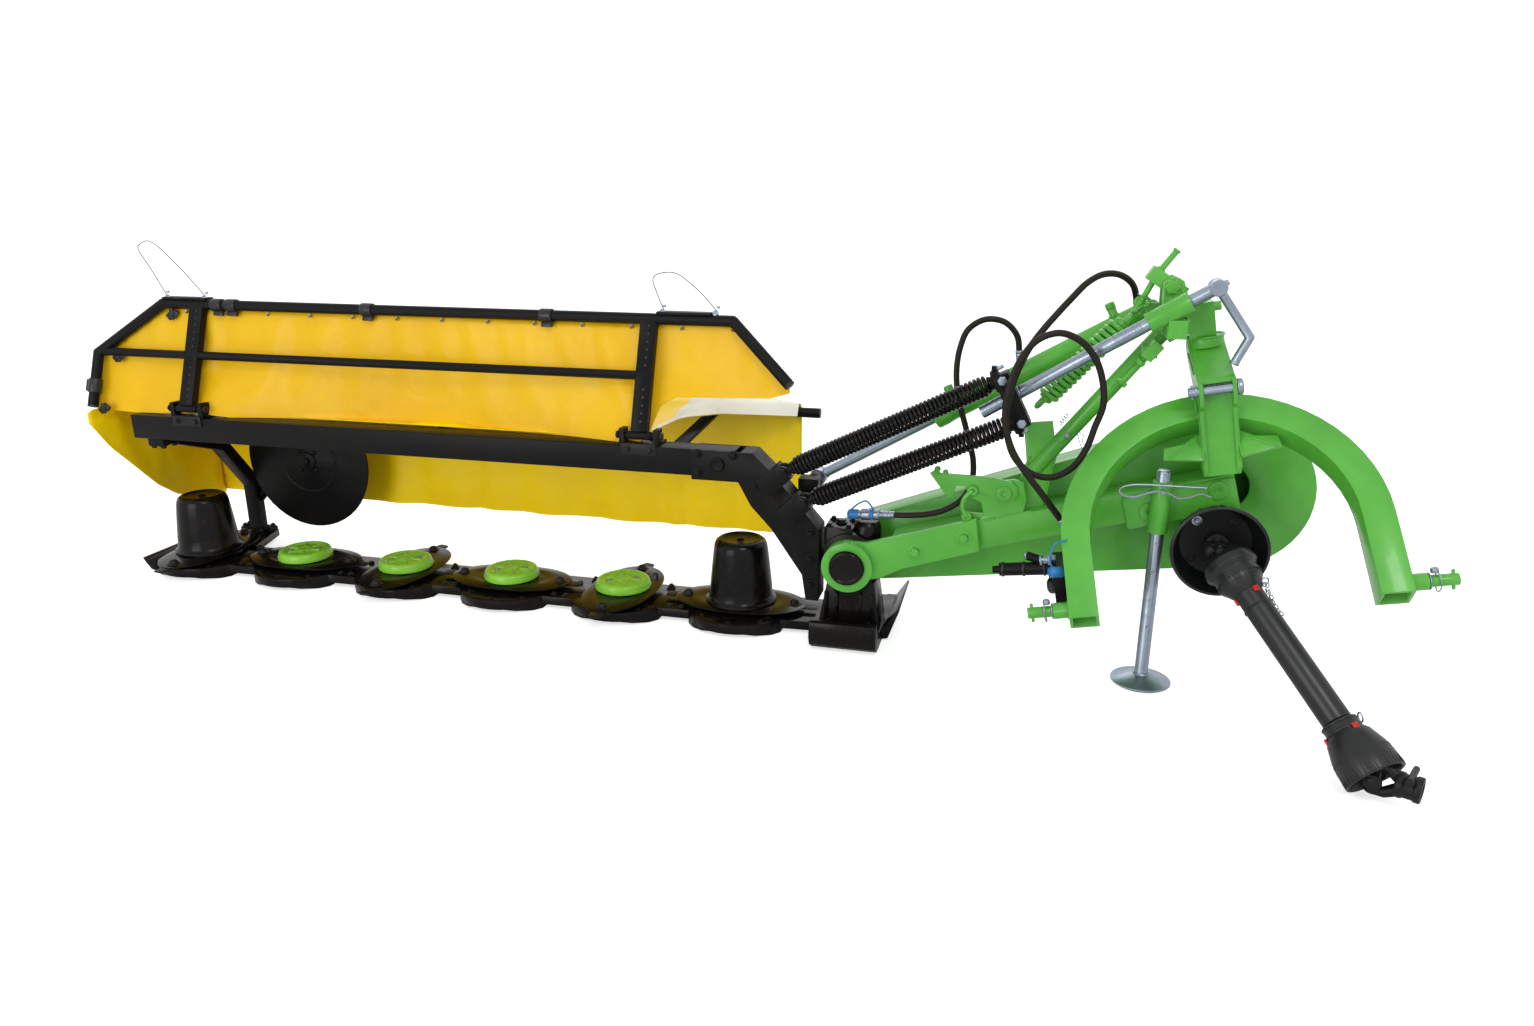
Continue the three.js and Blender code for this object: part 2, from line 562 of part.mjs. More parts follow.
put('inner_bracket', join(bracketArm, springLugs, cylLug).subtract(beamSocket), SATIN);

// guard beam
const beamBox = (half, x0, x1) => box(x0, x1, beamY - half, beamY + half, beamZ - half,
  beamZ + half);
put('guard_beam', beamBox(BEAM / 2, X1 - 105, 20)
  .subtract(beamBox(BEAM / 2 - BEAM_WALL, X1 - 120, 30)), SATIN);

// outer arm from the beam down to the outer end of the bar
put('outer_arm', join(
  box(X1 - 55, X1 + 5, -136, -62, 505, beamZ - BEAM / 2 - GAP),
  stick([X1 - 25, -90, 518], [X1 - 25, 160, 430], 50, 23, [1, 0, 0]),
  stick([X1 - 25, 150, 440], [X1 - 25, 284, 262], 50, 40, [1, 0, 0]),
  stick([X1 - 25, 284, 280], [X1 - 25, 284, 72.3], 50, 40, [1, 0, 0]),
  box(X1 - 90, X1 + 40, 262, 310, 72.3, 84)), SATIN);

// swath disc and its arm
const SWATH = [X1 + 260, 373];   // x and z of the swath disc
put('swath_disc_arm', join(
  pipe([[X1 - 5, 290, 200], [X1 + 40, 298, 250], [X1 + 90, 300, 340], [X1 + 160, 300, 372],
    [SWATH[0], 300, SWATH[1]]], 17, 12),
  rod([SWATH[0], 261.3, SWATH[1]], [SWATH[0], 317, SWATH[1]], 26, 20))
  .subtract(box(X1 - 80, X1 + 0.3, 200, 400, 60, 400)), SATIN);
put('swath_disc', join(
  rod([SWATH[0], 252, SWATH[1]], [SWATH[0], 258, SWATH[1]], SWATH_R, 48),
  rod([SWATH[0], 246, SWATH[1]], [SWATH[0], 261, SWATH[1]], 34, 24),
  rod([SWATH[0], 236, SWATH[1]], [SWATH[0], 250, SWATH[1]], 12, 12)), SATIN);

// front guard frame, raised in its service position
const hingeY = -128;
const hingeZ = 640;
const tilt = 20 * D2R;
const fr = (x, u, w = 0) => [x, hingeY + Math.sin(tilt) * u + Math.cos(tilt) * w,
  hingeZ + Math.cos(tilt) * u - Math.sin(tilt) * w];
const upDir = [1, 0, 0];
const postAt = (x) => join(
  stick(fr(x, 10), fr(x, 355), 50, 26, upDir),
  rod([x - 38, hingeY, hingeZ], [x + 38, hingeY, hingeZ], HINGE_PIN_R + 5, 12),
  rod([x - 66, hingeY, hingeZ], [x + 66, hingeY, hingeZ], HINGE_PIN_R, 12));
const topRail = pipe([fr(X1 - 262, -10), fr(X1 - 262, 175), fr(X1 - 20, 352), fr(-16, 352),
  fr(170, 170)], RAIL_R, 12);
const midRail = rod(fr(X1 - 256, 180), fr(-275, 180), 14, 12);
const latch = (x) => stick(fr(x, 372, 0), fr(x + 170, 372, 0), 40, 8, [0, 1, 0]);
put('front_guard_frame', join(topRail, midRail, postAt(X1 + 123), postAt(-275),
  latch(X1 - 10), latch(-250)), SATIN);
const beamTop = beamZ + BEAM / 2 + GAP;
const hingeAt = (x) => join(
  box(x - 62, x - 46, -139, -100, beamTop, 660),
  box(x + 46, x + 62, -139, -100, beamTop, 660),
  box(x - 62, x + 62, -139, -62, beamTop, beamTop + 7.7)).subtract(
  rod([x - 80, hingeY, hingeZ], [x + 80, hingeY, hingeZ], HINGE_PIN_R + GAP, 16));
put('guard_hinge_left', hingeAt(X1 + 123), SATIN);
put('guard_hinge_right', hingeAt(-275), SATIN);

// front curtain, a sheet behind the raised frame
const fc = (x, u) => fr(x, u, RAIL_R + GAP + CURTAIN);
const sheetPts = [fc(X1 - 256, 48), fc(X1 - 256, 175), fc(X1 - 16, 345), fc(-20, 345), fc(163, 170),
  fc(163, 70), fc(130, 48)];
function sheetSlab(pts, off) {
  const o = V(pts[0]);
  const x = new THREE.Vector3(1, 0, 0);
  const y = V(off).normalize();
  const z = new THREE.Vector3().crossVectors(x, y);
  const flat = pts.map((p) => {
    const d = V(p).sub(o);
    return [d.dot(x), d.dot(y)];
  });
  const g = slab(flat, CURTAIN);
  g.applyMatrix4(new THREE.Matrix4().makeBasis(x, y, z));
  g.translate(o.x, o.y, o.z);
  return solid(g);
}
const upTilt = [0, Math.sin(tilt), Math.cos(tilt)];
put('front_curtain', sheetSlab(sheetPts, upTilt), YELLOW);

// rear rail with the arms that hold it
const beamBack = beamY + BEAM / 2 + GAP + 0.5;
const railY = 372;
const railZ = 628;
put('rear_rail', join(
  rod([X1 - 238, railY, railZ], [172, railY, railZ], RAIL_R, 16),
  ...[[X1 - 50, beamBack], [X1 / 2, beamBack], [-188, beamBack]].map(([x, y]) => stick([x, y, 588],
    [x, railY - 10, 620], 40, 12, [1, 0, 0])))
  .subtract(rod([X1 - 260, railY, railZ], [190, railY, railZ], RAIL_R - 4, 16)), SATIN);

// rear curtain: level panel behind the beam, then down to the stubble
const rc0 = X1 - 256;
const rc1 = 106;
const drape = plateYZ([[-58, 617], [380, 655], [400, 648], [404, 176], [398, 176],
  [394, 643], [378, 649], [-58, 611]], rc0, rc1).subtract(
  plateXZ([[rc0 - 5, 420], [rc0 + 130, 250], [rc0 + 190, 100], [rc0 - 5, 100]], 300, 450));
const endFlap = plateYZ([[-58, 617], [380, 655], [400, 648], [404, 410], [180, 440],
  [-58, 560]], rc0, rc0 + CURTAIN);
put('rear_curtain', drape.add(endFlap), YELLOW);

// ===== lift cylinder =====
const cylA = [1146, 60, 1028];
const cylB = [235, 60, 499];
const cylLen = V(cylA).distanceTo(V(cylB));
const onCyl = (u) => along(cylB, cylA, u);
put('lift_cylinder_barrel', join(
  rod(onCyl(420), onCyl(cylLen - 20), CYL_R, 24),
  rod([cylA[0], 34, cylA[2]], [cylA[0], 86, cylA[2]], 30, 20),
  rod(onCyl(470), [onCyl(470)[0] - 30, 60, onCyl(470)[2] + 60], 12, 12),
  rod(onCyl(cylLen - 90), [onCyl(cylLen - 90)[0] - 30, 60, onCyl(cylLen - 90)[2] + 60], 12, 12))
  .subtract(rod([cylA[0], 0, cylA[2]], [cylA[0], 120, cylA[2]], CYL_PIN_R + 0.4, 20))
  .subtract(rod(onCyl(300), onCyl(cylLen - 80), CYL_ROD_R + GAP, 20)), GREEN);
put('lift_cylinder_rod', join(
  rod(onCyl(14), onCyl(700), CYL_ROD_R, 20),
  rod([cylB[0], 38, cylB[2]], [cylB[0], 82, cylB[2]], 26, 20))
  .subtract(rod([cylB[0], 0, cylB[2]], [cylB[0], 120, cylB[2]], 14.6, 20)), ZINC);
put('cylinder_pin', join(
  rod([cylA[0], -35, cylA[2]], [cylA[0], 92, cylA[2]], CYL_PIN_R, 20),
  box(cylA[0] - 22, cylA[0] + 60, -41.7, -30, cylA[2] - 36, cylA[2] + 30)), GREEN);

// ===== breakaway device on the arch's left leg =====
const side = -(ARCH_R + GAP);       // outer face of the left leg, headstock frame
put('breakaway_device', join(
  rod(hs([side - 172.8, 231, 41.4]), hs([side - 23.6, 223, 33]), 18, 20),
  rod(hs([side - 190.9, 232, 42.3]), hs([side - 170.7, 231, 41.3]), 10, 16),
  toH(box(side - 29.7, side, 66, 240, -30, 72)),
  rod(hs([side - 20, 219, 41.5]), hs([side - 96.9, 225, 75.7]), 12, 16)), SATIN);

// ===== hoses =====
put('hose_a', hose([
  [809, 40, 896], [799, 36, 950], [762, 30, 988], [709, 24, 994], [664, 17, 965],
  [645, 11, 914], [639, 5, 859], [643, 0, 804], [656, -8, 751], [673, -22, 701],
  [690, -41, 652], [704, -64, 605], [704, -87, 554], [682, -103, 506], [639, -110, 473],
  [588, -110, 455], [533, -106, 446], [478, -100, 441]], HOSE_R, 60), RUBBER);
put('hose_b', hose([
  [1109, 30, 1048], [1091, 4, 1099], [1054, -32, 1127], [1009, -73, 1131], [969, -112, 1112],
  [934, -147, 1077], [900, -182, 1040], [867, -214, 1001], [836, -238, 956], [812, -251, 901],
  [797, -256, 844], [792, -257, 783], [798, -256, 723], [821, -254, 668], [866, -249, 629],
  [918, -245, 622], [965, -238, 648], [997, -236, 700], [1014, -237, 761], [1029, -240, 818],
  [1022, -240, 879], [1000, -243, 935], [960, -250, 980], [906, -263, 1000], [853, -278, 981],
  [817, -287, 933], [797, -290, 877], [788, -290, 817], [792, -290, 757], [812, -289, 699],
  [844, -287, 649], [882, -284, 601], [919, -278, 554], [955, -270, 506]], HOSE_R, 100), RUBBER);

// ---------- assemble, with the row's origin under the middle of the box ----------
const cords = ['hose_a', 'hose_b'];
const whole = new THREE.Box3();
for (const [name, { body }] of made) {
  if (cords.includes(name)) continue;
  const b = body.boundingBox();
  whole.expandByPoint(new THREE.Vector3(...b.min));
  whole.expandByPoint(new THREE.Vector3(...b.max));
}
const mid = whole.getCenter(new THREE.Vector3());
group.userData.origin = [mid.x, mid.y, whole.min.z];
for (const [name, { body, material }] of made) {
  const m = body.translate([-mid.x, -mid.y, -whole.min.z]).asOriginal().simplify(0.02).getMesh();
  const g = new THREE.BufferGeometry();
  const n = m.numProp;
  const pos = new Float32Array((m.vertProperties.length / n) * 3);
  for (let i = 0; i < pos.length / 3; i += 1) {
    pos[3 * i] = m.vertProperties[n * i];
    pos[3 * i + 1] = m.vertProperties[n * i + 1];
    pos[3 * i + 2] = m.vertProperties[n * i + 2];
  }
  g.setAttribute('position', new THREE.BufferAttribute(pos, 3));
  g.setIndex(new THREE.BufferAttribute(new Uint32Array(m.triVerts), 1));
  g.computeVertexNormals();
  const mesh = new THREE.Mesh(g, material);
  mesh.name = name;
  group.add(mesh);
}

export default group;
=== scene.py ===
"""Finishes and fine detail for a rear-mounted disc mower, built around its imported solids."""
import json
import math

import bmesh
import bpy
from mathutils import Matrix, Quaternion, Vector, noise


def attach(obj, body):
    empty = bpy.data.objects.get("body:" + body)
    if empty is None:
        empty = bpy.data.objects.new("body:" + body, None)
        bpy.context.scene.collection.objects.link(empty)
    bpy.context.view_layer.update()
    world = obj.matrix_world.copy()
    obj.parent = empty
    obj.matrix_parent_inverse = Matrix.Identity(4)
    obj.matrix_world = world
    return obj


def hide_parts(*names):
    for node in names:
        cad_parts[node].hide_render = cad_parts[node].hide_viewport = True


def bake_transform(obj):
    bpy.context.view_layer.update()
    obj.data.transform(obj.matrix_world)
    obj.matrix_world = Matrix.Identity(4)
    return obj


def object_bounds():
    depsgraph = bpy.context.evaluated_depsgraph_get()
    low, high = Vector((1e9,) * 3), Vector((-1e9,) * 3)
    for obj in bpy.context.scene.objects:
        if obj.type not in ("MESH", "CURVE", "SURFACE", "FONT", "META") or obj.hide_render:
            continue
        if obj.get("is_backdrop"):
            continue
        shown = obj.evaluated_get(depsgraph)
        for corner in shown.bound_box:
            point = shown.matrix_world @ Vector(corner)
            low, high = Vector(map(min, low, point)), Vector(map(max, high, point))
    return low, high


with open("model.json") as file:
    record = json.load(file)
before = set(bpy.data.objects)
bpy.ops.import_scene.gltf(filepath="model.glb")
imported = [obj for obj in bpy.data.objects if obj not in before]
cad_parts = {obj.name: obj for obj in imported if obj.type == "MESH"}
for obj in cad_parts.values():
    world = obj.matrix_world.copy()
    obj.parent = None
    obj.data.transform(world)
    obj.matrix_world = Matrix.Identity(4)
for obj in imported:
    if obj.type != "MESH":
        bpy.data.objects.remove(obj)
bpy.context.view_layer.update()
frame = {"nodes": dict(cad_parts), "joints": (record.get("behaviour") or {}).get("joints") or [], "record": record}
JOINTS = {joint["name"]: joint for joint in frame["joints"]}
BODY_OF = {node: body for body, nodes in frame["record"]["behaviour"]["bodies"].items()
           for node in nodes}

bl_info = {
    "name": "Disc Mower Finishes",
    "version": (1, 0, 0),
    "blender": (4, 5, 0),
    "location": "View3D > Sidebar > Mower",
    "description": "Paint, springs, curtains, hoses and fasteners around the mower's solids",
    "category": "Object",
}

# ---------- the machine's own datum ----------
# Places are written in millimetres from the crossing of the last disc's axis with the ground
# datum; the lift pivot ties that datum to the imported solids.
PIVOT_MM = Vector((366.0, -80.0, 292.0))
DATUM = Vector(JOINTS["cutterbar_lift"]["pos_m"]) - PIVOT_MM / 1000
ROLL = math.radians(10.9)
HITCH_MM = Vector((1346.0, -481.0, 419.0))
HEAD_X = Vector((math.cos(ROLL), 0, math.sin(ROLL)))
HEAD_Z = Vector((-math.sin(ROLL), 0, math.cos(ROLL)))
UP = Vector((0, 0, 1))
RIGHT = Vector((1, 0, 0))
REARWARD = Vector((0, 1, 0))
TOWARDS_TRACTOR = Vector((0, -1, 0))
PITCH = 400.0
DISCS = 6
GUARD_TILT = math.radians(20)
ARCH_LEAN = math.radians(48)
ARCH_SIDE = -375.3  # left face of the hitch arch, where the breakaway device is bolted
POSTS = (-1877, -275)  # the two posts of the raised guard
BALANCE_Y = -190
BALANCE_ENDS = (((181, 573), (774, 867)), ((240, 488), (830, 757)))  # bracket pin, yoke pin
STAND = (1202, -166)


def at(x, y, z):
    """A place in millimetres from the machine's datum, in the frame's metres."""
    return DATUM + Vector((x, y, z)) / 1000


def head(a, b, c):
    """A place in the headstock's own leaning axes."""
    p = HITCH_MM + HEAD_X * a + Vector((0, b, 0)) + HEAD_Z * c
    return at(*p)


def guard(x, u, w=0.0):
    """A place on the raised guard: along it, up its slope and out of its plane."""
    return at(x, -128 + math.sin(GUARD_TILT) * u + math.cos(GUARD_TILT) * w,
              640 + math.cos(GUARD_TILT) * u - math.sin(GUARD_TILT) * w)


GUARD_OUT = guard(0, 0, -1) - guard(0, 0, 0)


def disc_x(k):
    return -PITCH * (DISCS - k)


# ---------- colour and nodes ----------
def linear(colour):
    """An sRGB hex value as linear red, green, blue and alpha."""
    parts = [int(colour[i:i + 2], 16) / 255 for i in (1, 3, 5)]
    return (*(p / 12.92 if p <= 0.04045 else ((p + 0.055) / 1.055) ** 2.4 for p in parts), 1.0)


def node(tree, kind, settings=None, inputs=None):
    """Adds a node, with its settings, its values and its links."""
    made = tree.nodes.new(kind)
    for key, value in (settings or {}).items():
        setattr(made, key, value)
    for key, value in (inputs or {}).items():
        socket = made.inputs[key]
        if isinstance(value, bpy.types.NodeSocket):
            tree.links.new(value, socket)
        else:
            socket.default_value = value
    return made


def start(name):
    """An empty material with its shader, its output and object coordinates."""
    material = bpy.data.materials.new(name)
    material.use_nodes = True
    tree = material.node_tree
    tree.nodes.clear()
    shader = node(tree, "ShaderNodeBsdfPrincipled")
    node(tree, "ShaderNodeOutputMaterial", inputs={"Surface": shader.outputs[0]})
    place = node(tree, "ShaderNodeTexCoord").outputs["Object"]
    return material, tree, shader, place


def per_metre(millimetres):
    """A texture scale for a pattern that repeats at that real size."""
    return 1000.0 / millimetres


def powder_coat(name, colour, deep, roughness, specular, coat, dust="#4A3A28", dusty=0.0):
    """Polyester powder coat on steel, baked: glossy, with a faint orange peel and thin dust."""
    material, tree, shader, place = start(name)
    cloud = node(tree, "ShaderNodeTexNoise", inputs={
        "Vector": place, "Scale": per_metre(180), "Detail": 3.0, "Roughness": 0.6})
    tone = node(tree, "ShaderNodeMix", {"data_type": "RGBA"}, {
        0: node(tree, "ShaderNodeMapRange", inputs={
            "Value": cloud.outputs["Fac"], "From Min": 0.35, "From Max": 0.75}).outputs[0],
        6: linear(colour), 7: linear(deep)})
    specks = node(tree, "ShaderNodeTexNoise", inputs={
        "Vector": place, "Scale": per_metre(35), "Detail": 6.0, "Roughness": 0.7})
    film = node(tree, "ShaderNodeMapRange", inputs={
        "Value": specks.outputs["Fac"], "From Min": 0.5, "From Max": 0.8, "To Max": dusty})
    base = node(tree, "ShaderNodeMix", {"data_type": "RGBA"}, {
        0: film.outputs[0], 6: tone.outputs[2], 7: linear(dust)})
    # orange peel is about 3 mm across, drawn at 6 mm so that it shows
    peel = node(tree, "ShaderNodeTexNoise", inputs={
        "Vector": place, "Scale": per_metre(6), "Detail": 2.0})
    bump = node(tree, "ShaderNodeBump", inputs={
        "Height": peel.outputs["Fac"], "Strength": 0.05, "Distance": 0.001})
    sheen = node(tree, "ShaderNodeMapRange", inputs={
        "Value": specks.outputs["Fac"], "To Min": roughness * 0.8, "To Max": roughness * 1.25})
    for key, value in {"Base Color": base.outputs[2], "Roughness": sheen.outputs[0],
                       "Normal": bump.outputs[0]}.items():
        tree.links.new(value, shader.inputs[key])
    shader.inputs["Specular IOR Level"].default_value = specular
    shader.inputs["Coat Weight"].default_value = coat
    shader.inputs["Coat Roughness"].default_value = 0.08
    return material


def zinc_plate(name, colour, deep):
    """Zinc-plated steel: cool and metallic, with the cloudy bloom of the bath."""
    material, tree, shader, place = start(name)
    cloud = node(tree, "ShaderNodeTexNoise", inputs={
        "Vector": place, "Scale": per_metre(28), "Detail": 5.0, "Roughness": 0.65})
    tone = node(tree, "ShaderNodeMix", {"data_type": "RGBA"}, {
        0: cloud.outputs["Fac"], 6: linear(colour), 7: linear(deep)})
    drawn = node(tree, "ShaderNodeTexNoise", inputs={
        "Vector": place, "Scale": per_metre(4), "Detail": 3.0})
    bump = node(tree, "ShaderNodeBump", inputs={
        "Height": drawn.outputs["Fac"], "Strength": 0.12, "Distance": 0.0006})
    rough = node(tree, "ShaderNodeMapRange", inputs={
        "Value": cloud.outputs["Fac"], "To Min": 0.22, "To Max": 0.45})
    for key, value in {"Base Color": tone.outputs[2], "Roughness": rough.outputs[0],
                       "Normal": bump.outputs[0]}.items():
        tree.links.new(value, shader.inputs[key])
    shader.inputs["Metallic"].default_value = 0.9
    return material


def moulded(name, colour, deep, roughness, grain_mm, bump_mm, specular=0.4):
    """Injection-moulded plastic or rubber: even colour, spark-eroded grain from the tool."""
    material, tree, shader, place = start(name)
    cloud = node(tree, "ShaderNodeTexNoise", inputs={
        "Vector": place, "Scale": per_metre(90), "Detail": 4.0})
    tone = node(tree, "ShaderNodeMix", {"data_type": "RGBA"}, {
        0: cloud.outputs["Fac"], 6: linear(colour), 7: linear(deep)})
    grain = node(tree, "ShaderNodeTexVoronoi", inputs={
        "Vector": place, "Scale": per_metre(grain_mm)})
    bump = node(tree, "ShaderNodeBump", inputs={
        "Height": grain.outputs["Distance"], "Strength": 0.25, "Distance": bump_mm / 1000})
    rough = node(tree, "ShaderNodeMapRange", inputs={
        "Value": cloud.outputs["Fac"], "To Min": roughness * 0.85, "To Max": roughness * 1.2})
    for key, value in {"Base Color": tone.outputs[2], "Roughness": rough.outputs[0],
                       "Normal": bump.outputs[0]}.items():
        tree.links.new(value, shader.inputs[key])
    shader.inputs["Specular IOR Level"].default_value = specular
    return material


def coated_cloth(name, colour, deep, coat):
    """PVC-coated polyester tarpaulin: a soft gloss over a plain weave that prints through."""
    material, tree, shader, place = start(name)
    cloud = node(tree, "ShaderNodeTexNoise", inputs={
        "Vector": place, "Scale": per_metre(260), "Detail": 4.0, "Roughness": 0.6})
    tone = node(tree, "ShaderNodeMix", {"data_type": "RGBA"}, {
        0: node(tree, "ShaderNodeMapRange", inputs={
            "Value": cloud.outputs["Fac"], "From Min": 0.4, "From Max": 0.9}).outputs[0],
        6: linear(colour), 7: linear(deep)})
    # threads are 1 mm apart, drawn at 3 mm so that they show
    threads = [node(tree, "ShaderNodeTexWave", {"bands_direction": way}, {
        "Vector": place, "Scale": per_metre(3) / 6.3}).outputs["Fac"] for way in ("X", "Z")]
    weave = node(tree, "ShaderNodeMath", {"operation": "MAXIMUM"}, {0: threads[0], 1: threads[1]})
    crease = node(tree, "ShaderNodeTexNoise", inputs={
        "Vector": place, "Scale": per_metre(120), "Detail": 3.0, "Distortion": 1.2})
    fine = node(tree, "ShaderNodeBump", inputs={
        "Height": weave.outputs[0], "Strength": 0.10, "Distance": 0.0005})
    soft = node(tree, "ShaderNodeBump", inputs={
        "Height": crease.outputs["Fac"], "Strength": 0.35, "Distance": 0.012,
        "Normal": fine.outputs[0]})
    for key, value in {"Base Color": tone.outputs[2], "Normal": soft.outputs[0]}.items():
        tree.links.new(value, shader.inputs[key])
    shader.inputs["Roughness"].default_value = 0.36
    shader.inputs["Specular IOR Level"].default_value = 0.20
    shader.inputs["Coat Weight"].default_value = coat
    shader.inputs["Coat Roughness"].default_value = 0.20
    return material


MATERIALS = {}


def make_materials(colours):
    """All finishes, each with the record's slot that it belongs to."""
    made = {
        "green": (powder_coat("powder_coat_green", colours.green, "#479A2F", 0.30, 0.40, 0.18),
                  "green_paint"),
        # the brown deep tone mottled into this gloss black is a painted reflection of the ground; its brown specks
        # are dust
        "black": (powder_coat("powder_coat_black_gloss", colours.black, "#130E0B", 0.20, 0.16, 0.0,
                              dusty=0.16), "black_paint"),
        "satin": (powder_coat("powder_coat_black_satin", colours.satin, "#13110E", 0.40, 0.12, 0.0,
                              dusty=0.05), "satin_black_paint"),
        "lime": (moulded("abs_lime_moulded", "#8ACB3E", "#7ABC33", 0.22, 5.0, 0.05),
                 "lime_plastic"),
        "tarp": (coated_cloth("pvc_tarpaulin_yellow", colours.tarpaulin, "#E0AC08", 0.04),
                 "yellow_tarpaulin"),
        # a brighter copy of the yellow cloth for the rear curtain and the end sheet, which hang in shade: painted
        # light
        "tarp_painted_lit": (coated_cloth("pvc_tarpaulin_yellow_painted_lit", "#FFDD0A", "#F6CE02", 0.12),
                      "yellow_tarpaulin"),
        # a pale copy of the cloth on both faces of the top panel's right end, where its coat shows a whitish
        # sheen: a painted reflection
        "tarp_painted_sheen": (coated_cloth("pvc_tarpaulin_painted_sheen", "#E9ECE2", "#DADCC0", 0.04),
                      "yellow_tarpaulin"),
        "zinc": (zinc_plate("zinc_plated_steel", "#A8B1BE", "#7C8998"), "zinc_plate"),
        "wire": (zinc_plate("galvanised_spring_wire", "#6E6C68", "#4B4945"), "zinc_plate"),
        "rubber": (moulded("nitrile_hose_rubber", "#17130F", "#221B14", 0.46, 4.0, 0.15, 0.2),
                   "hose_rubber"),
        "plastic": (moulded("polyethylene_black_moulded", "#111214", "#191A1C", 0.34, 5.0, 0.1,
                            0.42),
                    "black_plastic"),
        "blue": (moulded("polyethylene_blue_moulded", "#2F7FC4", "#246BAA", 0.32, 4.0, 0.05),
                 "black_plastic"),
        "red": (moulded("nylon_red_moulded", "#C7281E", "#A81E16", 0.35, 4.0, 0.05),
                "black_plastic"),
        "iron": (powder_coat("forged_steel_black", "#141517", "#211E1B", 0.42, 0.22, 0.0,
                             dusty=0.1), "satin_black_paint"),
    }
    for key, (material, slot) in made.items():
        MATERIALS[key] = material


# ---------- mesh tools ----------
def square_to(axis):
    """Two directions square to an axis and to each other."""
    axis = Vector(axis).normalized()
    side = axis.cross(UP if abs(axis.z) < 0.9 else RIGHT).normalized()
    return side, axis.cross(side).normalized()


def sweep(mesh, points, radius, sides=12, caps=True):
    """A round tube along points, its section carried without twist. radius may be a list."""
    points = [Vector(p) for p in points]
    radii = radius if isinstance(radius, (list, tuple)) else [radius] * len(points)
    count = len(points)
    ways = [(points[min(i + 1, count - 1)] - points[max(i - 1, 0)]).normalized()
            for i in range(count)]
    side = square_to(ways[0])[0]
    rings = []
    for i, (p, way, r) in enumerate(zip(points, ways, radii)):
        if i:
            side = ways[i - 1].rotation_difference(way) @ side
        side = (side - way * side.dot(way)).normalized()
        other = way.cross(side)
        rings.append([mesh.verts.new(p + (side * math.cos(t) + other * math.sin(t)) * r)
                      for t in (2 * math.pi * j / sides for j in range(sides))])
    for low, high in zip(rings, rings[1:]):
        for j in range(sides):
            k = (j + 1) % sides
            mesh.faces.new((low[j], low[k], high[k], high[j]))
    if caps:
        mesh.faces.new(list(reversed(rings[0])))
        mesh.faces.new(rings[-1])


def turn(mesh, profile, place, axis, sides=24):
    """A turned form: (radius, height) pairs along an axis. A radius of 0 closes it in a point."""
    axis = Vector(axis).normalized()
    side, other = square_to(axis)
    rings = []
    for r, h in profile:
        centre = Vector(place) + axis * h
        if r <= 1e-7:
            rings.append([mesh.verts.new(centre)])
        else:
            rings.append([mesh.verts.new(centre + (side * math.cos(t) + other * math.sin(t)) * r)
                          for t in (2 * math.pi * j / sides for j in range(sides))])
    for low, high in zip(rings, rings[1:]):
        for j in range(sides):
            k = (j + 1) % sides
            corners = ([low[0], high[k], high[j]] if len(low) == 1
                       else [low[j], low[k], high[0]] if len(high) == 1
                       else [low[j], low[k], high[k], high[j]])
            if len(corners) == len(set(corners)):
                mesh.faces.new(corners)


def bolt(mesh, place, axis, flats=0.019, height=0.008, washer=True, tip=0.0):
    """A hexagon head with its chamfer and washer, and the bolt's tip if a nut is meant."""
    axis = Vector(axis).normalized()
    place = Vector(place)
    r = flats / math.sqrt(3)
    lift = 0.0
    if washer:
        turn(mesh, [(0, 0), (r * 1.45, 0), (r * 1.5, 0.0008), (r * 1.42, 0.0025), (0, 0.0025)],
             place, axis, 24)
        lift = 0.0024
    turn(mesh, [(0, 0), (r, 0), (r, height * 0.8), (r * 0.86, height), (0, height)],
         place + axis * lift, axis, 6)
    if tip:
        turn(mesh, [(0, 0), (r * 0.55, 0), (r * 0.55, tip * 0.8), (r * 0.42, tip), (0, tip)],
             place + axis * (lift + height - 0.0005), axis, 16)


def block(mesh, centre, size, turned=None):
    """A box about a centre, turned by a rotation if one is given."""
    half = Vector(size) / 2
    spin = turned or Quaternion()
    verts = [mesh.verts.new(Vector(centre) + spin @ Vector((x * half.x, y * half.y, z * half.z)))
             for x in (-1, 1) for y in (-1, 1) for z in (-1, 1)]
    for corners in ((0, 1, 3, 2), (4, 6, 7, 5), (0, 4, 5, 1), (2, 3, 7, 6), (0, 2, 6, 4),
                    (1, 5, 7, 3)):
        mesh.faces.new([verts[i] for i in corners])


def piece(name, mesh, material, body, bevel=0.0, angle=35, segments=2):
    """Makes a piece from a mesh, rounds its edges, gives it its finish and its body."""
    bmesh.ops.recalc_face_normals(mesh, faces=mesh.faces)
    data = bpy.data.meshes.new(name)
    mesh.to_mesh(data)
    mesh.free()
    made = bpy.data.objects.new(name, data)
    bpy.context.scene.collection.objects.link(made)
    if bevel:
        edge = made.modifiers.new("edges", "BEVEL")
        edge.width = bevel
        edge.segments = segments
        edge.limit_method = "ANGLE"
        edge.angle_limit = math.radians(angle)
        edge.harden_normals = False
        settle(made)
    made.data.materials.clear()
    made.data.materials.append(MATERIALS[material])
    made.data.shade_smooth()
    made.data.set_sharp_from_angle(angle=math.radians(38))
    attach(made, body)
    return made


def settle(made):
    """Replaces a piece's mesh by what its modifiers make of it."""
    graph = bpy.context.evaluated_depsgraph_get()
    graph.update()
    data = bpy.data.meshes.new_from_object(made.evaluated_get(graph))
    made.modifiers.clear()
    made.data = data


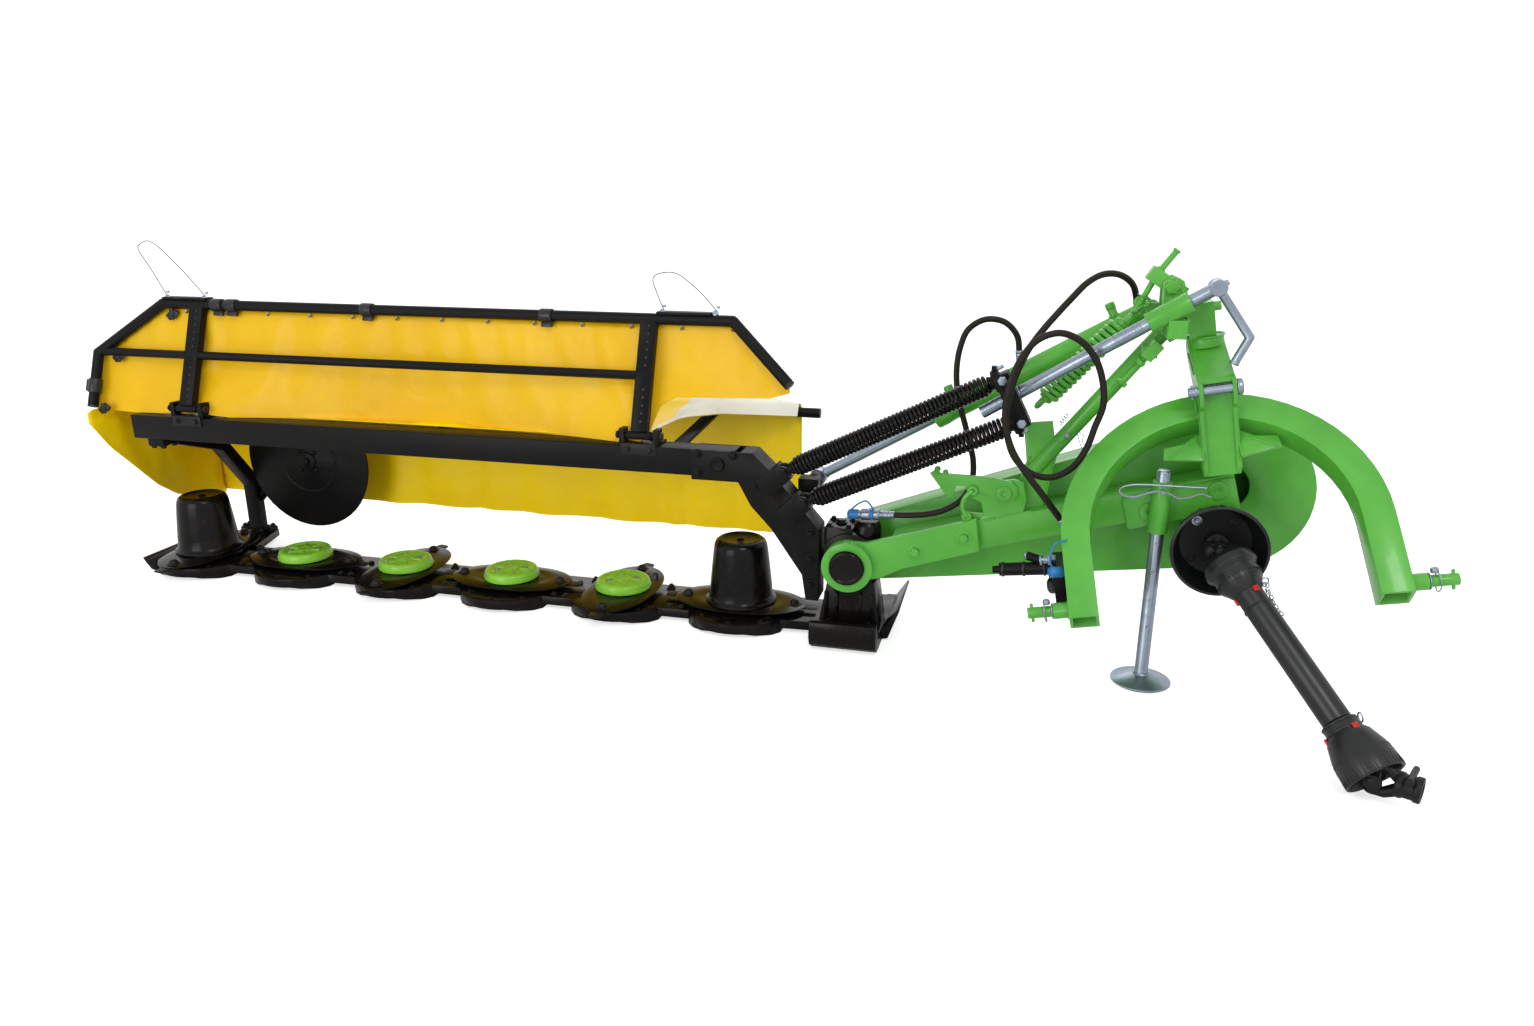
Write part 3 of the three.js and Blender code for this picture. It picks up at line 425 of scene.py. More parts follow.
def rounded(cad_node, material, bevel_mm):
    """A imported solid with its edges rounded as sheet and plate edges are."""
    mesh = bmesh.new()
    mesh.from_mesh(frame["nodes"][cad_node].data)
    bmesh.ops.remove_doubles(mesh, verts=mesh.verts, dist=1e-5)
    bmesh.ops.dissolve_limit(mesh, angle_limit=math.radians(0.6), verts=mesh.verts,
                             edges=mesh.edges)
    made = piece(cad_node + "_finished", mesh, material, BODY_OF[cad_node], bevel_mm / 1000)
    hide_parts(cad_node)
    return made


def smooth_route(points, steps=8):
    """A centripetal Catmull-Rom line through points, as the solids' hoses follow."""
    points = [Vector(p) for p in points]
    ends = [points[0] * 2 - points[1]] + points + [points[-1] * 2 - points[-2]]
    line = []
    for p0, p1, p2, p3 in zip(ends, ends[1:], ends[2:], ends[3:]):
        t0 = 0.0
        t1 = t0 + max((p1 - p0).length, 1e-6) ** 0.5
        t2 = t1 + max((p2 - p1).length, 1e-6) ** 0.5
        t3 = t2 + max((p3 - p2).length, 1e-6) ** 0.5
        for i in range(steps):
            t = t1 + (t2 - t1) * i / steps
            a1 = p0 * ((t1 - t) / (t1 - t0)) + p1 * ((t - t0) / (t1 - t0))
            a2 = p1 * ((t2 - t) / (t2 - t1)) + p2 * ((t - t1) / (t2 - t1))
            a3 = p2 * ((t3 - t) / (t3 - t2)) + p3 * ((t - t2) / (t3 - t2))
            b1 = a1 * ((t2 - t) / (t2 - t0)) + a2 * ((t - t0) / (t2 - t0))
            b2 = a2 * ((t3 - t) / (t3 - t1)) + a3 * ((t - t1) / (t3 - t1))
            line.append(b1 * ((t2 - t) / (t2 - t1)) + b2 * ((t - t1) / (t2 - t1)))
    line.append(points[-1])
    return line


def coil_points(a, b, radius, turns, per_turn=20, lead_in=0.0):
    """A helix from a to b. lead_in is the share of turns at each end that narrow to the axis."""
    a, b = Vector(a), Vector(b)
    way = (b - a).normalized()
    side, other = square_to(way)
    count = int(turns * per_turn)
    points = []
    for i in range(count + 1):
        s = i / count
        edge = min(s, 1 - s) / lead_in if lead_in else 1.0
        r = radius * min(1.0, 0.45 + 0.55 * edge)
        t = 2 * math.pi * turns * s
        points.append(a + (b - a) * s + (side * math.cos(t) + other * math.sin(t)) * r)
    return points


# ---------- settings ----------
class MowerColours(bpy.types.PropertyGroup):
    """Colours of the main finishes, as sRGB hex values."""

    green: bpy.props.StringProperty(name="Green", description="Powder coat of the headstock",
                                    default="#55AD38")
    black: bpy.props.StringProperty(name="Gloss black", description="Paint of the cutterbar",
                                    default="#0B0B0D")
    satin: bpy.props.StringProperty(name="Satin black", description="Paint of the guard frame",
                                    default="#0E0F11")
    tarpaulin: bpy.props.StringProperty(name="Tarpaulin", description="Colour of the curtains",
                                        default="#EBBB10")


class MowerSizes(bpy.types.PropertyGroup):
    """Sizes of the fine pieces."""

    balance_wire: bpy.props.FloatProperty(
        name="Balance spring wire", description="Thickness of the balance springs' wire",
        default=0.0107, unit="LENGTH")
    relief_wire: bpy.props.FloatProperty(
        name="Relief spring wire", description="Thickness of the relief spring's wire",
        default=0.0148, unit="LENGTH")
    hose: bpy.props.FloatProperty(
        name="Hose", description="Outside diameter of the hydraulic hoses",
        default=0.0175, unit="LENGTH")
    cloth_grid: bpy.props.FloatProperty(
        name="Cloth grid", description="Spacing of the curtains' points",
        default=0.022, unit="LENGTH")
    key: bpy.props.FloatProperty(
        name="Key light", description="Power of the key light in watts", default=78.0)


def colours():
    return bpy.context.scene.mower_colours


def sizes():
    return bpy.context.scene.mower_sizes


class MakeStage(bpy.types.Operator):
    """Floor, lights, world and camera"""

    bl_idname = "mower.stage"
    bl_label = "Stage"

    def execute(self, context):
        scene = context.scene
        scene.view_settings.view_transform = "Standard"
        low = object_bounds()[0]
        mesh = bmesh.new()
        reach = 60.0
        corners = [mesh.verts.new((x * reach, y * reach, low[2] - 0.0005))
                   for x, y in ((-1, -1), (1, -1), (1, 1), (-1, 1))]
        mesh.faces.new(corners)
        data = bpy.data.meshes.new("floor")
        mesh.to_mesh(data)
        mesh.free()
        floor = bpy.data.objects.new("floor", data)
        scene.collection.objects.link(floor)
        material = bpy.data.materials.new("floor_white")
        material.use_nodes = True
        tree = material.node_tree
        tree.nodes.clear()
        seen = node(tree, "ShaderNodeLightPath").outputs["Is Camera Ray"]
        matt = node(tree, "ShaderNodeBsdfDiffuse", inputs={"Color": (0.86, 0.86, 0.86, 1)})
        glow = node(tree, "ShaderNodeEmission", inputs={"Color": (1, 1, 1, 1), "Strength": 0.62})
        both = node(tree, "ShaderNodeAddShader", inputs={0: matt.outputs[0], 1: glow.outputs[0]})
        mixed = node(tree, "ShaderNodeMixShader", inputs={
            0: seen, 1: matt.outputs[0], 2: both.outputs[0]})
        node(tree, "ShaderNodeOutputMaterial", inputs={"Surface": mixed.outputs[0]})
        data.materials.append(material)
        floor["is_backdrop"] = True

        world = bpy.data.worlds.new("studio")
        scene.world = world
        world.use_nodes = True
        tree = world.node_tree
        tree.nodes.clear()
        path = node(tree, "ShaderNodeLightPath").outputs
        direct = node(tree, "ShaderNodeMath", {"operation": "MAXIMUM"}, {
            0: path["Is Camera Ray"],
            1: node(tree, "ShaderNodeMath", {"operation": "MAXIMUM"}, {
                0: path["Is Glossy Ray"], 1: path["Is Transmission Ray"]}).outputs[0]})
        strength = node(tree, "ShaderNodeMapRange", inputs={
            "Value": direct.outputs[0], "To Min": 0.80, "To Max": 1.0})
        sky = node(tree, "ShaderNodeBackground", inputs={
            "Color": (1, 1, 1, 1), "Strength": strength.outputs[0]})
        node(tree, "ShaderNodeOutputWorld", inputs={"Surface": sky.outputs[0]})

        for name, place, aim, size, power in (
                ("key", (2.6, -4.2, 4.6), (0, 0, 0.4), 1.6, sizes().key),
                ("fill", (-2.4, -5.2, 1.3), (-0.7, 0.2, 0.35), 3.0, 95),
                ("back", (0.5, 4.5, 4.0), (0, 0, 0.5), 3.0, 55)):
            light = bpy.data.lights.new(name, "AREA")
            light.energy = power
            light.size = size
            lamp = bpy.data.objects.new(name, light)
            scene.collection.objects.link(lamp)
            lamp.location = place
            lamp.rotation_euler = (Vector(aim) - Vector(place)).to_track_quat(
                "-Z", "Y").to_euler()

        camera = bpy.data.objects.new("camera", bpy.data.cameras.new("camera"))
        scene.collection.objects.link(camera)
        # the viewing direction is square to the picture's width and tips down by 17.3 degrees
        ahead = Vector((-0.2342, 0.9256, -0.2974)).normalized()
        right = Vector((0.9694, 0.2453, 0.0)).normalized()
        right = (right - ahead * right.dot(ahead)).normalized()
        above = right.cross(ahead)
        turned = Matrix((right, above, -ahead)).transposed().to_4x4()
        camera.matrix_world = Matrix.Translation(at(848, -3015, 1355)) @ turned
        camera.data.sensor_width = 36.0
        camera.data.lens = 36.0 * 1055 / 1534
        scene.camera = camera
        return {"FINISHED"}


HOSE_A = [
    (809, 40, 896), (799, 36, 950), (762, 30, 988), (709, 24, 994), (664, 17, 965),
    (645, 11, 914), (639, 5, 859), (643, 0, 804), (656, -8, 751), (673, -22, 701),
    (690, -41, 652), (704, -64, 605), (704, -87, 554), (682, -103, 506), (639, -110, 473),
    (588, -110, 455), (533, -106, 446), (478, -100, 441)
]
HOSE_B = [
    (1109, 30, 1048), (1091, 4, 1099), (1054, -32, 1127), (1009, -73, 1131), (969, -112, 1112),
    (934, -147, 1077), (900, -182, 1040), (867, -214, 1001), (836, -238, 956), (812, -251, 901),
    (797, -256, 844), (792, -257, 783), (798, -256, 723), (821, -254, 668), (866, -249, 629),
    (918, -245, 622), (965, -238, 648), (997, -236, 700), (1014, -237, 761), (1029, -240, 818),
    (1022, -240, 879), (1000, -243, 935), (960, -250, 980), (906, -263, 1000), (853, -278, 981),
    (817, -287, 933), (797, -290, 877), (788, -290, 817), (792, -290, 757), (812, -289, 699),
    (844, -287, 649), (882, -284, 601), (919, -278, 554), (955, -270, 506)
]


def ferrule(name, place, way, body="carrier"):
    """A swaged hose end: ribbed sleeve, hexagon and collar, along the hose."""
    mesh = bmesh.new()
    place, way = Vector(place), Vector(way).normalized()
    turn(mesh, [(0.0082, -0.002), (0.0108, 0), (0.0108, 0.006), (0.0098, 0.007), (0.0108, 0.009),
                (0.0108, 0.016), (0.0098, 0.017), (0.0108, 0.019), (0.0108, 0.028),
                (0.0086, 0.031), (0, 0.031)], place - way * 0.012, way, 20)
    turn(mesh, [(0, 0.019), (0.0125, 0.019), (0.0125, 0.033), (0.0108, 0.035), (0, 0.035)],
         place - way * 0.002, way, 6)
    turn(mesh, [(0, 0.032), (0.0075, 0.032), (0.0075, 0.046), (0, 0.046)], place, way, 16)
    return piece(name, mesh, "zinc", body, 0.0006)


class MakeHoses(bpy.types.Operator):
    """The two hydraulic hoses with their swaged ends"""

    bl_idname = "mower.hoses"
    bl_label = "Hoses"

    def execute(self, context):
        for name, route in (("hose_a", HOSE_A), ("hose_b", HOSE_B)):
            line = smooth_route([at(*p) for p in route])
            data = bpy.data.curves.new(name + "_rubber", "CURVE")
            data.dimensions = "3D"
            spline = data.splines.new("POLY")
            spline.points.add(len(line) - 1)
            for point, place in zip(spline.points, line):
                point.co = (*place, 1)
            data.bevel_depth = sizes().hose / 2
            data.bevel_resolution = 4
            data.use_fill_caps = True
            data.materials.append(MATERIALS["rubber"])
            hose = bpy.data.objects.new(name + "_rubber", data)
            context.scene.collection.objects.link(hose)
            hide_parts(name)
            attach(hose, "carrier")
            ends = [ferrule(f"{name}_end_{i}", place, way) for i, (place, way) in enumerate((
                (line[0], line[0] - line[1]), (line[-1], line[-1] - line[-2])))]
        return {"FINISHED"}


class MakeSolids(bpy.types.Operator):
    """Painted steel and moulded pieces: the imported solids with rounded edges"""

    bl_idname = "mower.solids"
    bl_label = "Painted solids"

    def execute(self, context):
        for material, bevel_mm, nodes in (
                ("green", 3.0, ("hitch_arch", "belt_guard")),
                ("green", 2.0, ("mast_post", "carrier_beam", "pivot_arm", "mast_head")),
                ("green", 1.2, ("arch_gusset_left", "arch_gusset_right", "diagonal_strut",
                                "tension_bar", "adjuster_bolt", "stand_sleeve",
                                "lift_cylinder_barrel", "cylinder_pin",
                                "lower_hitch_pin_left", "lower_hitch_pin_right")),
                ("black", 2.0, ("cutterbar", "inner_shoe", "gearbox")),
                ("satin", 2.5, ("inner_bracket", "guard_beam", "outer_arm")),
                ("satin", 1.0, ("spring_yoke", "swath_disc_arm", "swath_disc",
                                "front_guard_frame", "guard_hinge_left", "guard_hinge_right",
                                "rear_rail", "breakaway_device")),
                ("iron", 2.0, ("driveline_input_yoke",)),
                ("zinc", 0.8, ("top_link_pin", "tension_spindle", "stand_leg",
                               "lift_cylinder_rod")),
                ("plastic", 1.2, ("driveline_guard_bowl", "driveline_outer_tube",
                                  "driveline_inner_tube"))):
            for name in nodes:
                rounded(name, material, bevel_mm)
        return {"FINISHED"}


def spring(name, a, b, outer, wire, pitch, material, sides=8, per_turn=18, lead_in=0.04):
    """A closed-wound spring with tapered ends and the hooks that hold it."""
    a, b = Vector(a), Vector(b)
    way = (b - a).normalized()
    hook = outer * 0.9
    turns = ((b - a).length - 2 * hook) / pitch
    line = coil_points(a + way * hook, b - way * hook, outer - wire / 2, turns, per_turn, lead_in)
    mesh = bmesh.new()
    sweep(mesh, line, wire / 2, sides)
    for end, inward in ((a, way), (b, -way)):
        side = square_to(inward)[0]
        loop = [end + inward * hook * 0.5 + (Quaternion(square_to(inward)[1], t) @ (-inward))
                * hook * 0.55 for t in (math.radians(10 * i) for i in range(-16, 17))]
        tail = end + inward * hook * 0.95 + side * outer * 0.1
        sweep(mesh, [*loop, tail], wire / 2, sides)
        turn(mesh, [(0, 0), (outer * 0.6, 0), (outer * 0.62, wire * 0.3), (outer * 0.5, wire),
                    (0, wire)], end + inward * hook * 1.0, inward, 20)
    made = bpy.data.meshes.new(name)
    bmesh.ops.recalc_face_normals(mesh, faces=mesh.faces)
    mesh.to_mesh(made)
    mesh.free()
    made.materials.append(MATERIALS[material])
    made.shade_smooth()
    made.set_sharp_from_angle(angle=math.radians(50))
    obj = bpy.data.objects.new(name, made)
    bpy.context.scene.collection.objects.link(obj)
    return obj


class MakeSprings(bpy.types.Operator):
    """Two balance springs and the relief spring"""

    bl_idname = "mower.springs"
    bl_label = "Springs"

    def execute(self, context):
        for name, ends in zip(("balance_spring_upper", "balance_spring_lower"), BALANCE_ENDS):
            low, high = (at(x, BALANCE_Y, z) for x, z in ends)
            made = spring(name + "_coil", low, high, 0.030, sizes().balance_wire, 0.0118, "black")
            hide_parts(name)
            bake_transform(made)
        made = spring("relief_spring_coil", at(867, -80, 777), at(1088, -80, 1030), 0.031,
                      sizes().relief_wire, 0.0165, "green", per_turn=22, lead_in=0.06)
        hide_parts("relief_spring")
        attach(made, "carrier")
        return {"FINISHED"}


# ---------- cloth ----------
def hung(name, grid, held_at, node_name, body, give=-0.012, frames=36, wave=0.004,
         material="tarp"):
    """A sheet of tarpaulin from rows of points: hung by the points named, let fall, thickened."""
    mesh = bmesh.new()
    rows, columns = len(grid), len(grid[0])
    pins = []
    verts = []
    for i, row in enumerate(grid):
        for j, place in enumerate(row):
            fixed = held_at(i, j)
            pins.append(fixed)
            lean = 0.0 if fixed > 0.9 else wave
            verts.append(mesh.verts.new(place + Vector((0, -lean * noise.noise(
                Vector((place.x * 7, place.z * 9, place.y * 9))), 0))))
    for i in range(rows - 1):
        for j in range(columns - 1):
            low = i * columns + j
            mesh.faces.new((verts[low], verts[low + 1], verts[low + columns + 1],
                            verts[low + columns]))
    bmesh.ops.recalc_face_normals(mesh, faces=mesh.faces)
    data = bpy.data.meshes.new(name)
    mesh.to_mesh(data)
    mesh.free()
    made = bpy.data.objects.new(name, data)
    scene = bpy.context.scene
    scene.collection.objects.link(made)
    group = made.vertex_groups.new(name="held")
    for index, weight in enumerate(pins):
        if weight:
            group.add([index], weight, "REPLACE")
    cloth = made.modifiers.new("cloth", "CLOTH")
    cloth.settings.quality = 7
    cloth.settings.mass = 0.12
    cloth.settings.tension_stiffness = 30
    cloth.settings.compression_stiffness = 30
    cloth.settings.shear_stiffness = 10
    cloth.settings.bending_stiffness = 1.2
    cloth.settings.air_damping = 2.0
    cloth.settings.vertex_group_mass = "held"
    cloth.settings.shrink_min = give
    cloth.settings.shrink_max = give
    cloth.collision_settings.use_collision = False
    cloth.point_cache.frame_start = 1
    cloth.point_cache.frame_end = frames
    for frame_number in range(1, frames + 1):
        scene.frame_set(frame_number)
    settle(made)
    scene.frame_set(1)
    bare = [[made.data.vertices[i * columns + j].co.copy() for j in range(columns)]
            for i in range(rows)]
    fold = made.modifiers.new("thickness", "SOLIDIFY")
    fold.thickness = 0.0022
    fold.offset = 0
    settle(made)
    made.vertex_groups.clear()
    made.data.materials.clear()
    made.data.materials.append(MATERIALS[material])
    made.data.shade_smooth()
    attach(made, body)
    if node_name:
        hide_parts(node_name)
    return made, bare


def hem(name, bare, rows, columns, body, material="tarp"):
    """A folded hem: a strip of the sheet's own points, laid on both of its faces."""
    mesh = bmesh.new()
    whole = [[bare[i][j] for j in columns] for i in rows]
    for side in (-1, 1):
        ring = []
        for i, row in enumerate(whole):
            line = []
            for j, place in enumerate(row):
                a = whole[min(i + 1, len(whole) - 1)][j] - whole[max(i - 1, 0)][j]
                b = row[min(j + 1, len(row) - 1)] - row[max(j - 1, 0)]
                out = a.cross(b)
                out = out.normalized() if out.length > 1e-12 else REARWARD
                line.append(mesh.verts.new(place + out * side * 0.0021))
            ring.append(line)
        for low, high in zip(ring, ring[1:]):
            for j in range(len(low) - 1):
                mesh.faces.new((low[j], low[j + 1], high[j + 1], high[j]))
    return piece(name, mesh, material, body)


def eyelet(mesh, place, axis, r=0.009):
    """A brass-type eyelet: a rolled rim round a hole."""
    turn(mesh, [(r * 0.5, 0), (r * 0.55, 0.002), (r * 0.85, 0.0028), (r, 0.0012), (r, -0.001),
                (r * 0.5, -0.001), (r * 0.5, 0)], place, axis, 20)


def along(line, x):
    """The values of a line of points at x, taken straight between its points."""
    for a, b in zip(line, line[1:]):
        if x <= b[0]:
            f = max(0.0, (x - a[0]) / (b[0] - a[0]))
            return [u + (v - u) * f for u, v in zip(a[1:], b[1:])]
    return list(line[-1][1:])


def between(outline, x):
    """The lowest and highest of an outline's second coordinate at x."""
    found = []
    for (x0, u0), (x1, u1) in zip(outline, outline[1:] + outline[:1]):
        if min(x0, x1) <= x <= max(x0, x1):
            if abs(x1 - x0) < 1e-6:
                found += [u0, u1]
            else:
                found.append(u0 + (u1 - u0) * (x - x0) / (x1 - x0))
    return min(found), max(found)


FRONT_CUT = [
    (-2290, -12), (-2290, 150), (-2262, 180), (-2022, 350), (-20, 345), (166, 168), (166, 150),
    (106, 134), (-190, 128), (-236, 96), (-262, -16), (-420, -28), (-1500, -28), (-1858, -12),
    (-2120, -18)
]
# the outer end sheet (y, z): its top edge to the rear, then its sloping lower edge
END_CUT = [(-165, 577), (-165, 612), (-150, 620), (-58, 622), (380, 650), (401, 645), (401, 176),
           (252, 207), (154, 242), (77, 299), (-34, 414), (-95, 478)]
# the top panel's free front edge (x, y, z) and its crest over the rail (x, z)
FREE_EDGE = [(-2256, -58, 614), (-300, -58, 614), (-262, -30, 636), (-221, 105, 647),
             (-122, 200, 646), (24, 280, 632), (106, 322, 624)]
CREST = [(-2256, 652), (-420, 652), (-281, 658), (-103, 673), (36, 664), (106, 650)]
# where the arms that carry the rear rail stand
REAR_ARMS = (-2050, -1000, -188)
# upright folds of the lower panel: place, height out of the panel, width
FOLDS = [(-1700, 5, 30), (-1130, 6, 26), (-640, 5, 24), (-352, -7, 13), (-303, 9, 16),
         (-60, -5, 30), (62, 8, 18)]


class MakeCurtains(bpy.types.Operator):
    """The tarpaulin curtains: front, rear and outer end, with hems, eyelets and toggles"""

    bl_idname = "mower.curtains"
    bl_label = "Curtains"

    def execute(self, context):
        step = sizes().cloth_grid * 1000
        # front curtain, behind the raised frame
        x0, x1 = -2290, 166
        across = int((x1 - x0) / step)
        up = 16
        grid = []
        for i in range(up + 1):
            row = []
            for j in range(across + 1):
                x = x0 + (x1 - x0) * j / across
                low, high = between(FRONT_CUT, x)
                row.append(guard(x, low + (high - low) * i / up, 19.5))
            grid.append(row)

        def on_rails(i, j):
            x = x0 + (x1 - x0) * j / across
            if i == up or j == 0 or (j == across and i > up // 2):
                return 1.0
            if i == 0 and (abs(x + 1877) < 30 or abs(x + 275) < 20):
                return 1.0
            return 0.0

        front, bare = hung("front_curtain_cloth", grid, on_rails, "front_curtain", "front_guard",
                           give=-0.011)
        rim = hem("front_curtain_hem", bare, [0, 1, 2], range(across + 1), "front_guard")
        side = hem("front_curtain_side_hem", bare, range(up + 1), [across - 1, across],
                   "front_guard")

        # rear curtain, over its rail and down to the stubble
        x0, x1 = -2256, 106
        across = int((x1 - x0) / step)
        down, rail_row = 38, 18
        drop = 468.0
        grid = [[] for _ in range(down + 1)]
        for j in range(across + 1):
            x = x0 + (x1 - x0) * j / across
            (y_free, z_free), (z_crest,) = along(FREE_EDGE, x), along(CREST, x)
            fold = sum(h * math.exp(-((x - c) / w) ** 2) for c, h, w in FOLDS)
            for i in range(down + 1):
                if i <= rail_row:
                    f = i / rail_row
                    y, z = y_free + (382 - y_free) * f, z_free + (z_crest - z_free) * f
                    z += 16 * math.sin(math.pi * f) * max(0.0, min(1.0, (x + 260) / 120))
                    if x > -260:
                        z += 9 * f * (1 - f) * 4 * noise.noise(Vector((x / 70, y / 160, 0)))
                else:
                    length = drop * (i - rail_row) / (down - rail_row)
                    line = [(0, 382, z_crest), (18, 398, z_crest - 8), (104, 401, 560),
                            (488, 401, 176)]
                    y, z = along(line, length)
                    y += fold * min(1.0, (i - rail_row) / 7)
                grid[i].append(at(x, y, z))

        def on_rear(i, j):
            x = x0 + (x1 - x0) * j / across
            if i == 0 or rail_row - 2 <= i <= rail_row + 2:
                return 1.0
            # it lies on the rail's arms
            if i <= rail_row and (j == 0 or x > -240
                                  or min(abs(x - arm) for arm in REAR_ARMS) < 45):
                return 1.0
            return 0.0

        # the rear curtain takes the brighter copy of the cloth: painted light against its shade
        rear, bare = hung("rear_curtain_cloth", grid, on_rear, "rear_curtain", "cutterbar_unit",
                          give=-0.012, material="tarp_painted_lit")
        rim = hem("rear_curtain_hem", bare, [down - 2, down - 1, down], range(across + 1),
                  "cutterbar_unit", "tarp_painted_lit")
        folded = [j for j in range(across + 1) if x0 + (x1 - x0) * j / across > -275]
        # a pale strip over the top panel's right end: a painted reflection of its sheen
        sheen_strip = hem("rear_curtain_painted_sheen", bare, range(rail_row + 1), folded,
                      "cutterbar_unit", "tarp_painted_sheen")

        # outer end sheet, from the front corner round to the rear panel
        far, high_count = 28, 16
        grid = []
        for i in range(high_count + 1):
            row = []
            for j in range(far + 1):
                y = -165 + 566 * j / far
                low, high = between(END_CUT, y)
                f = i / high_count
                bulge = 16 * math.sin(math.pi * f) * math.sin(math.pi * j / far)
                crease = 6 * math.exp(-((y - 60 - 150 * f) / 26) ** 2) * (1 - f)
                row.append(at(-2256 - bulge + crease, y, low + (high - low) * f))
            grid.append(row)
        # the end sheet takes the brighter copy of the cloth too: painted light against its shade
        flap, bare = hung("end_flap_cloth", grid, lambda i, j: float(i == high_count or j == far),
                          "", "cutterbar_unit", give=-0.01, wave=0.0, material="tarp_painted_lit")
        rim = hem("end_flap_hem", bare, [0, 1], range(far + 1), "cutterbar_unit", "tarp_painted_lit")

        # toggles and eyelets that tie the front curtain to its frame
        mesh = bmesh.new()
        for x, u in ((-1990, 318), (-2190, 166), (-2226, -14)):
            place = guard(x, u, 12)
            for s in (-1, 1):
                block(mesh, place + Vector((s * 0.010, 0, 0.004 * s)), (0.026, 0.007, 0.022),
                      Quaternion(REARWARD, 0.7 * s))
            block(mesh, place + Vector((0, -0.003, 0)), (0.014, 0.006, 0.036))
        piece("curtain_toggles", mesh, "plastic", "front_guard", 0.002)
        mesh = bmesh.new()
        for x in range(-1950, -20, 160):
            eyelet(mesh, guard(x + 12, 330, 17.5), GUARD_OUT, 0.006)
        piece("curtain_eyelets", mesh, "zinc", "front_guard")
        return {"FINISHED"}


# ---------- cutterbar ----------
def rings(mesh, layers, closed=True):
    """Skins layers of points of equal count, one after the other."""
    made = [[mesh.verts.new(p) for p in layer] for layer in layers]
    count = len(made[0])
    for low, high in zip(made, made[1:]):
        for j in range(count if closed else count - 1):
            k = (j + 1) % count
            mesh.faces.new((low[j], low[k], high[k], high[j]))
    return made


def hoop(centre, r, count):
    """Points of a closed upright circle, its first one repeated at the end."""
    return [centre + Vector((math.cos(t) * r, 0, math.sin(t) * r))
            for t in (2 * math.pi * i / count for i in range(count + 1))]


def lobed(mesh, profile, place, lobes, sides=72):
    """A turned form whose radius swells in lobes: (radius, height, swell) triples."""
    layers = [[place + Vector((math.cos(t), math.sin(t), 0)) * r * (1 + swell * math.cos(lobes * t))
               + UP * h for t in (2 * math.pi * j / sides for j in range(sides))]
              for r, h, swell in profile if r > 1e-6]
    made = rings(mesh, layers)
    mesh.faces.new(made[-1])


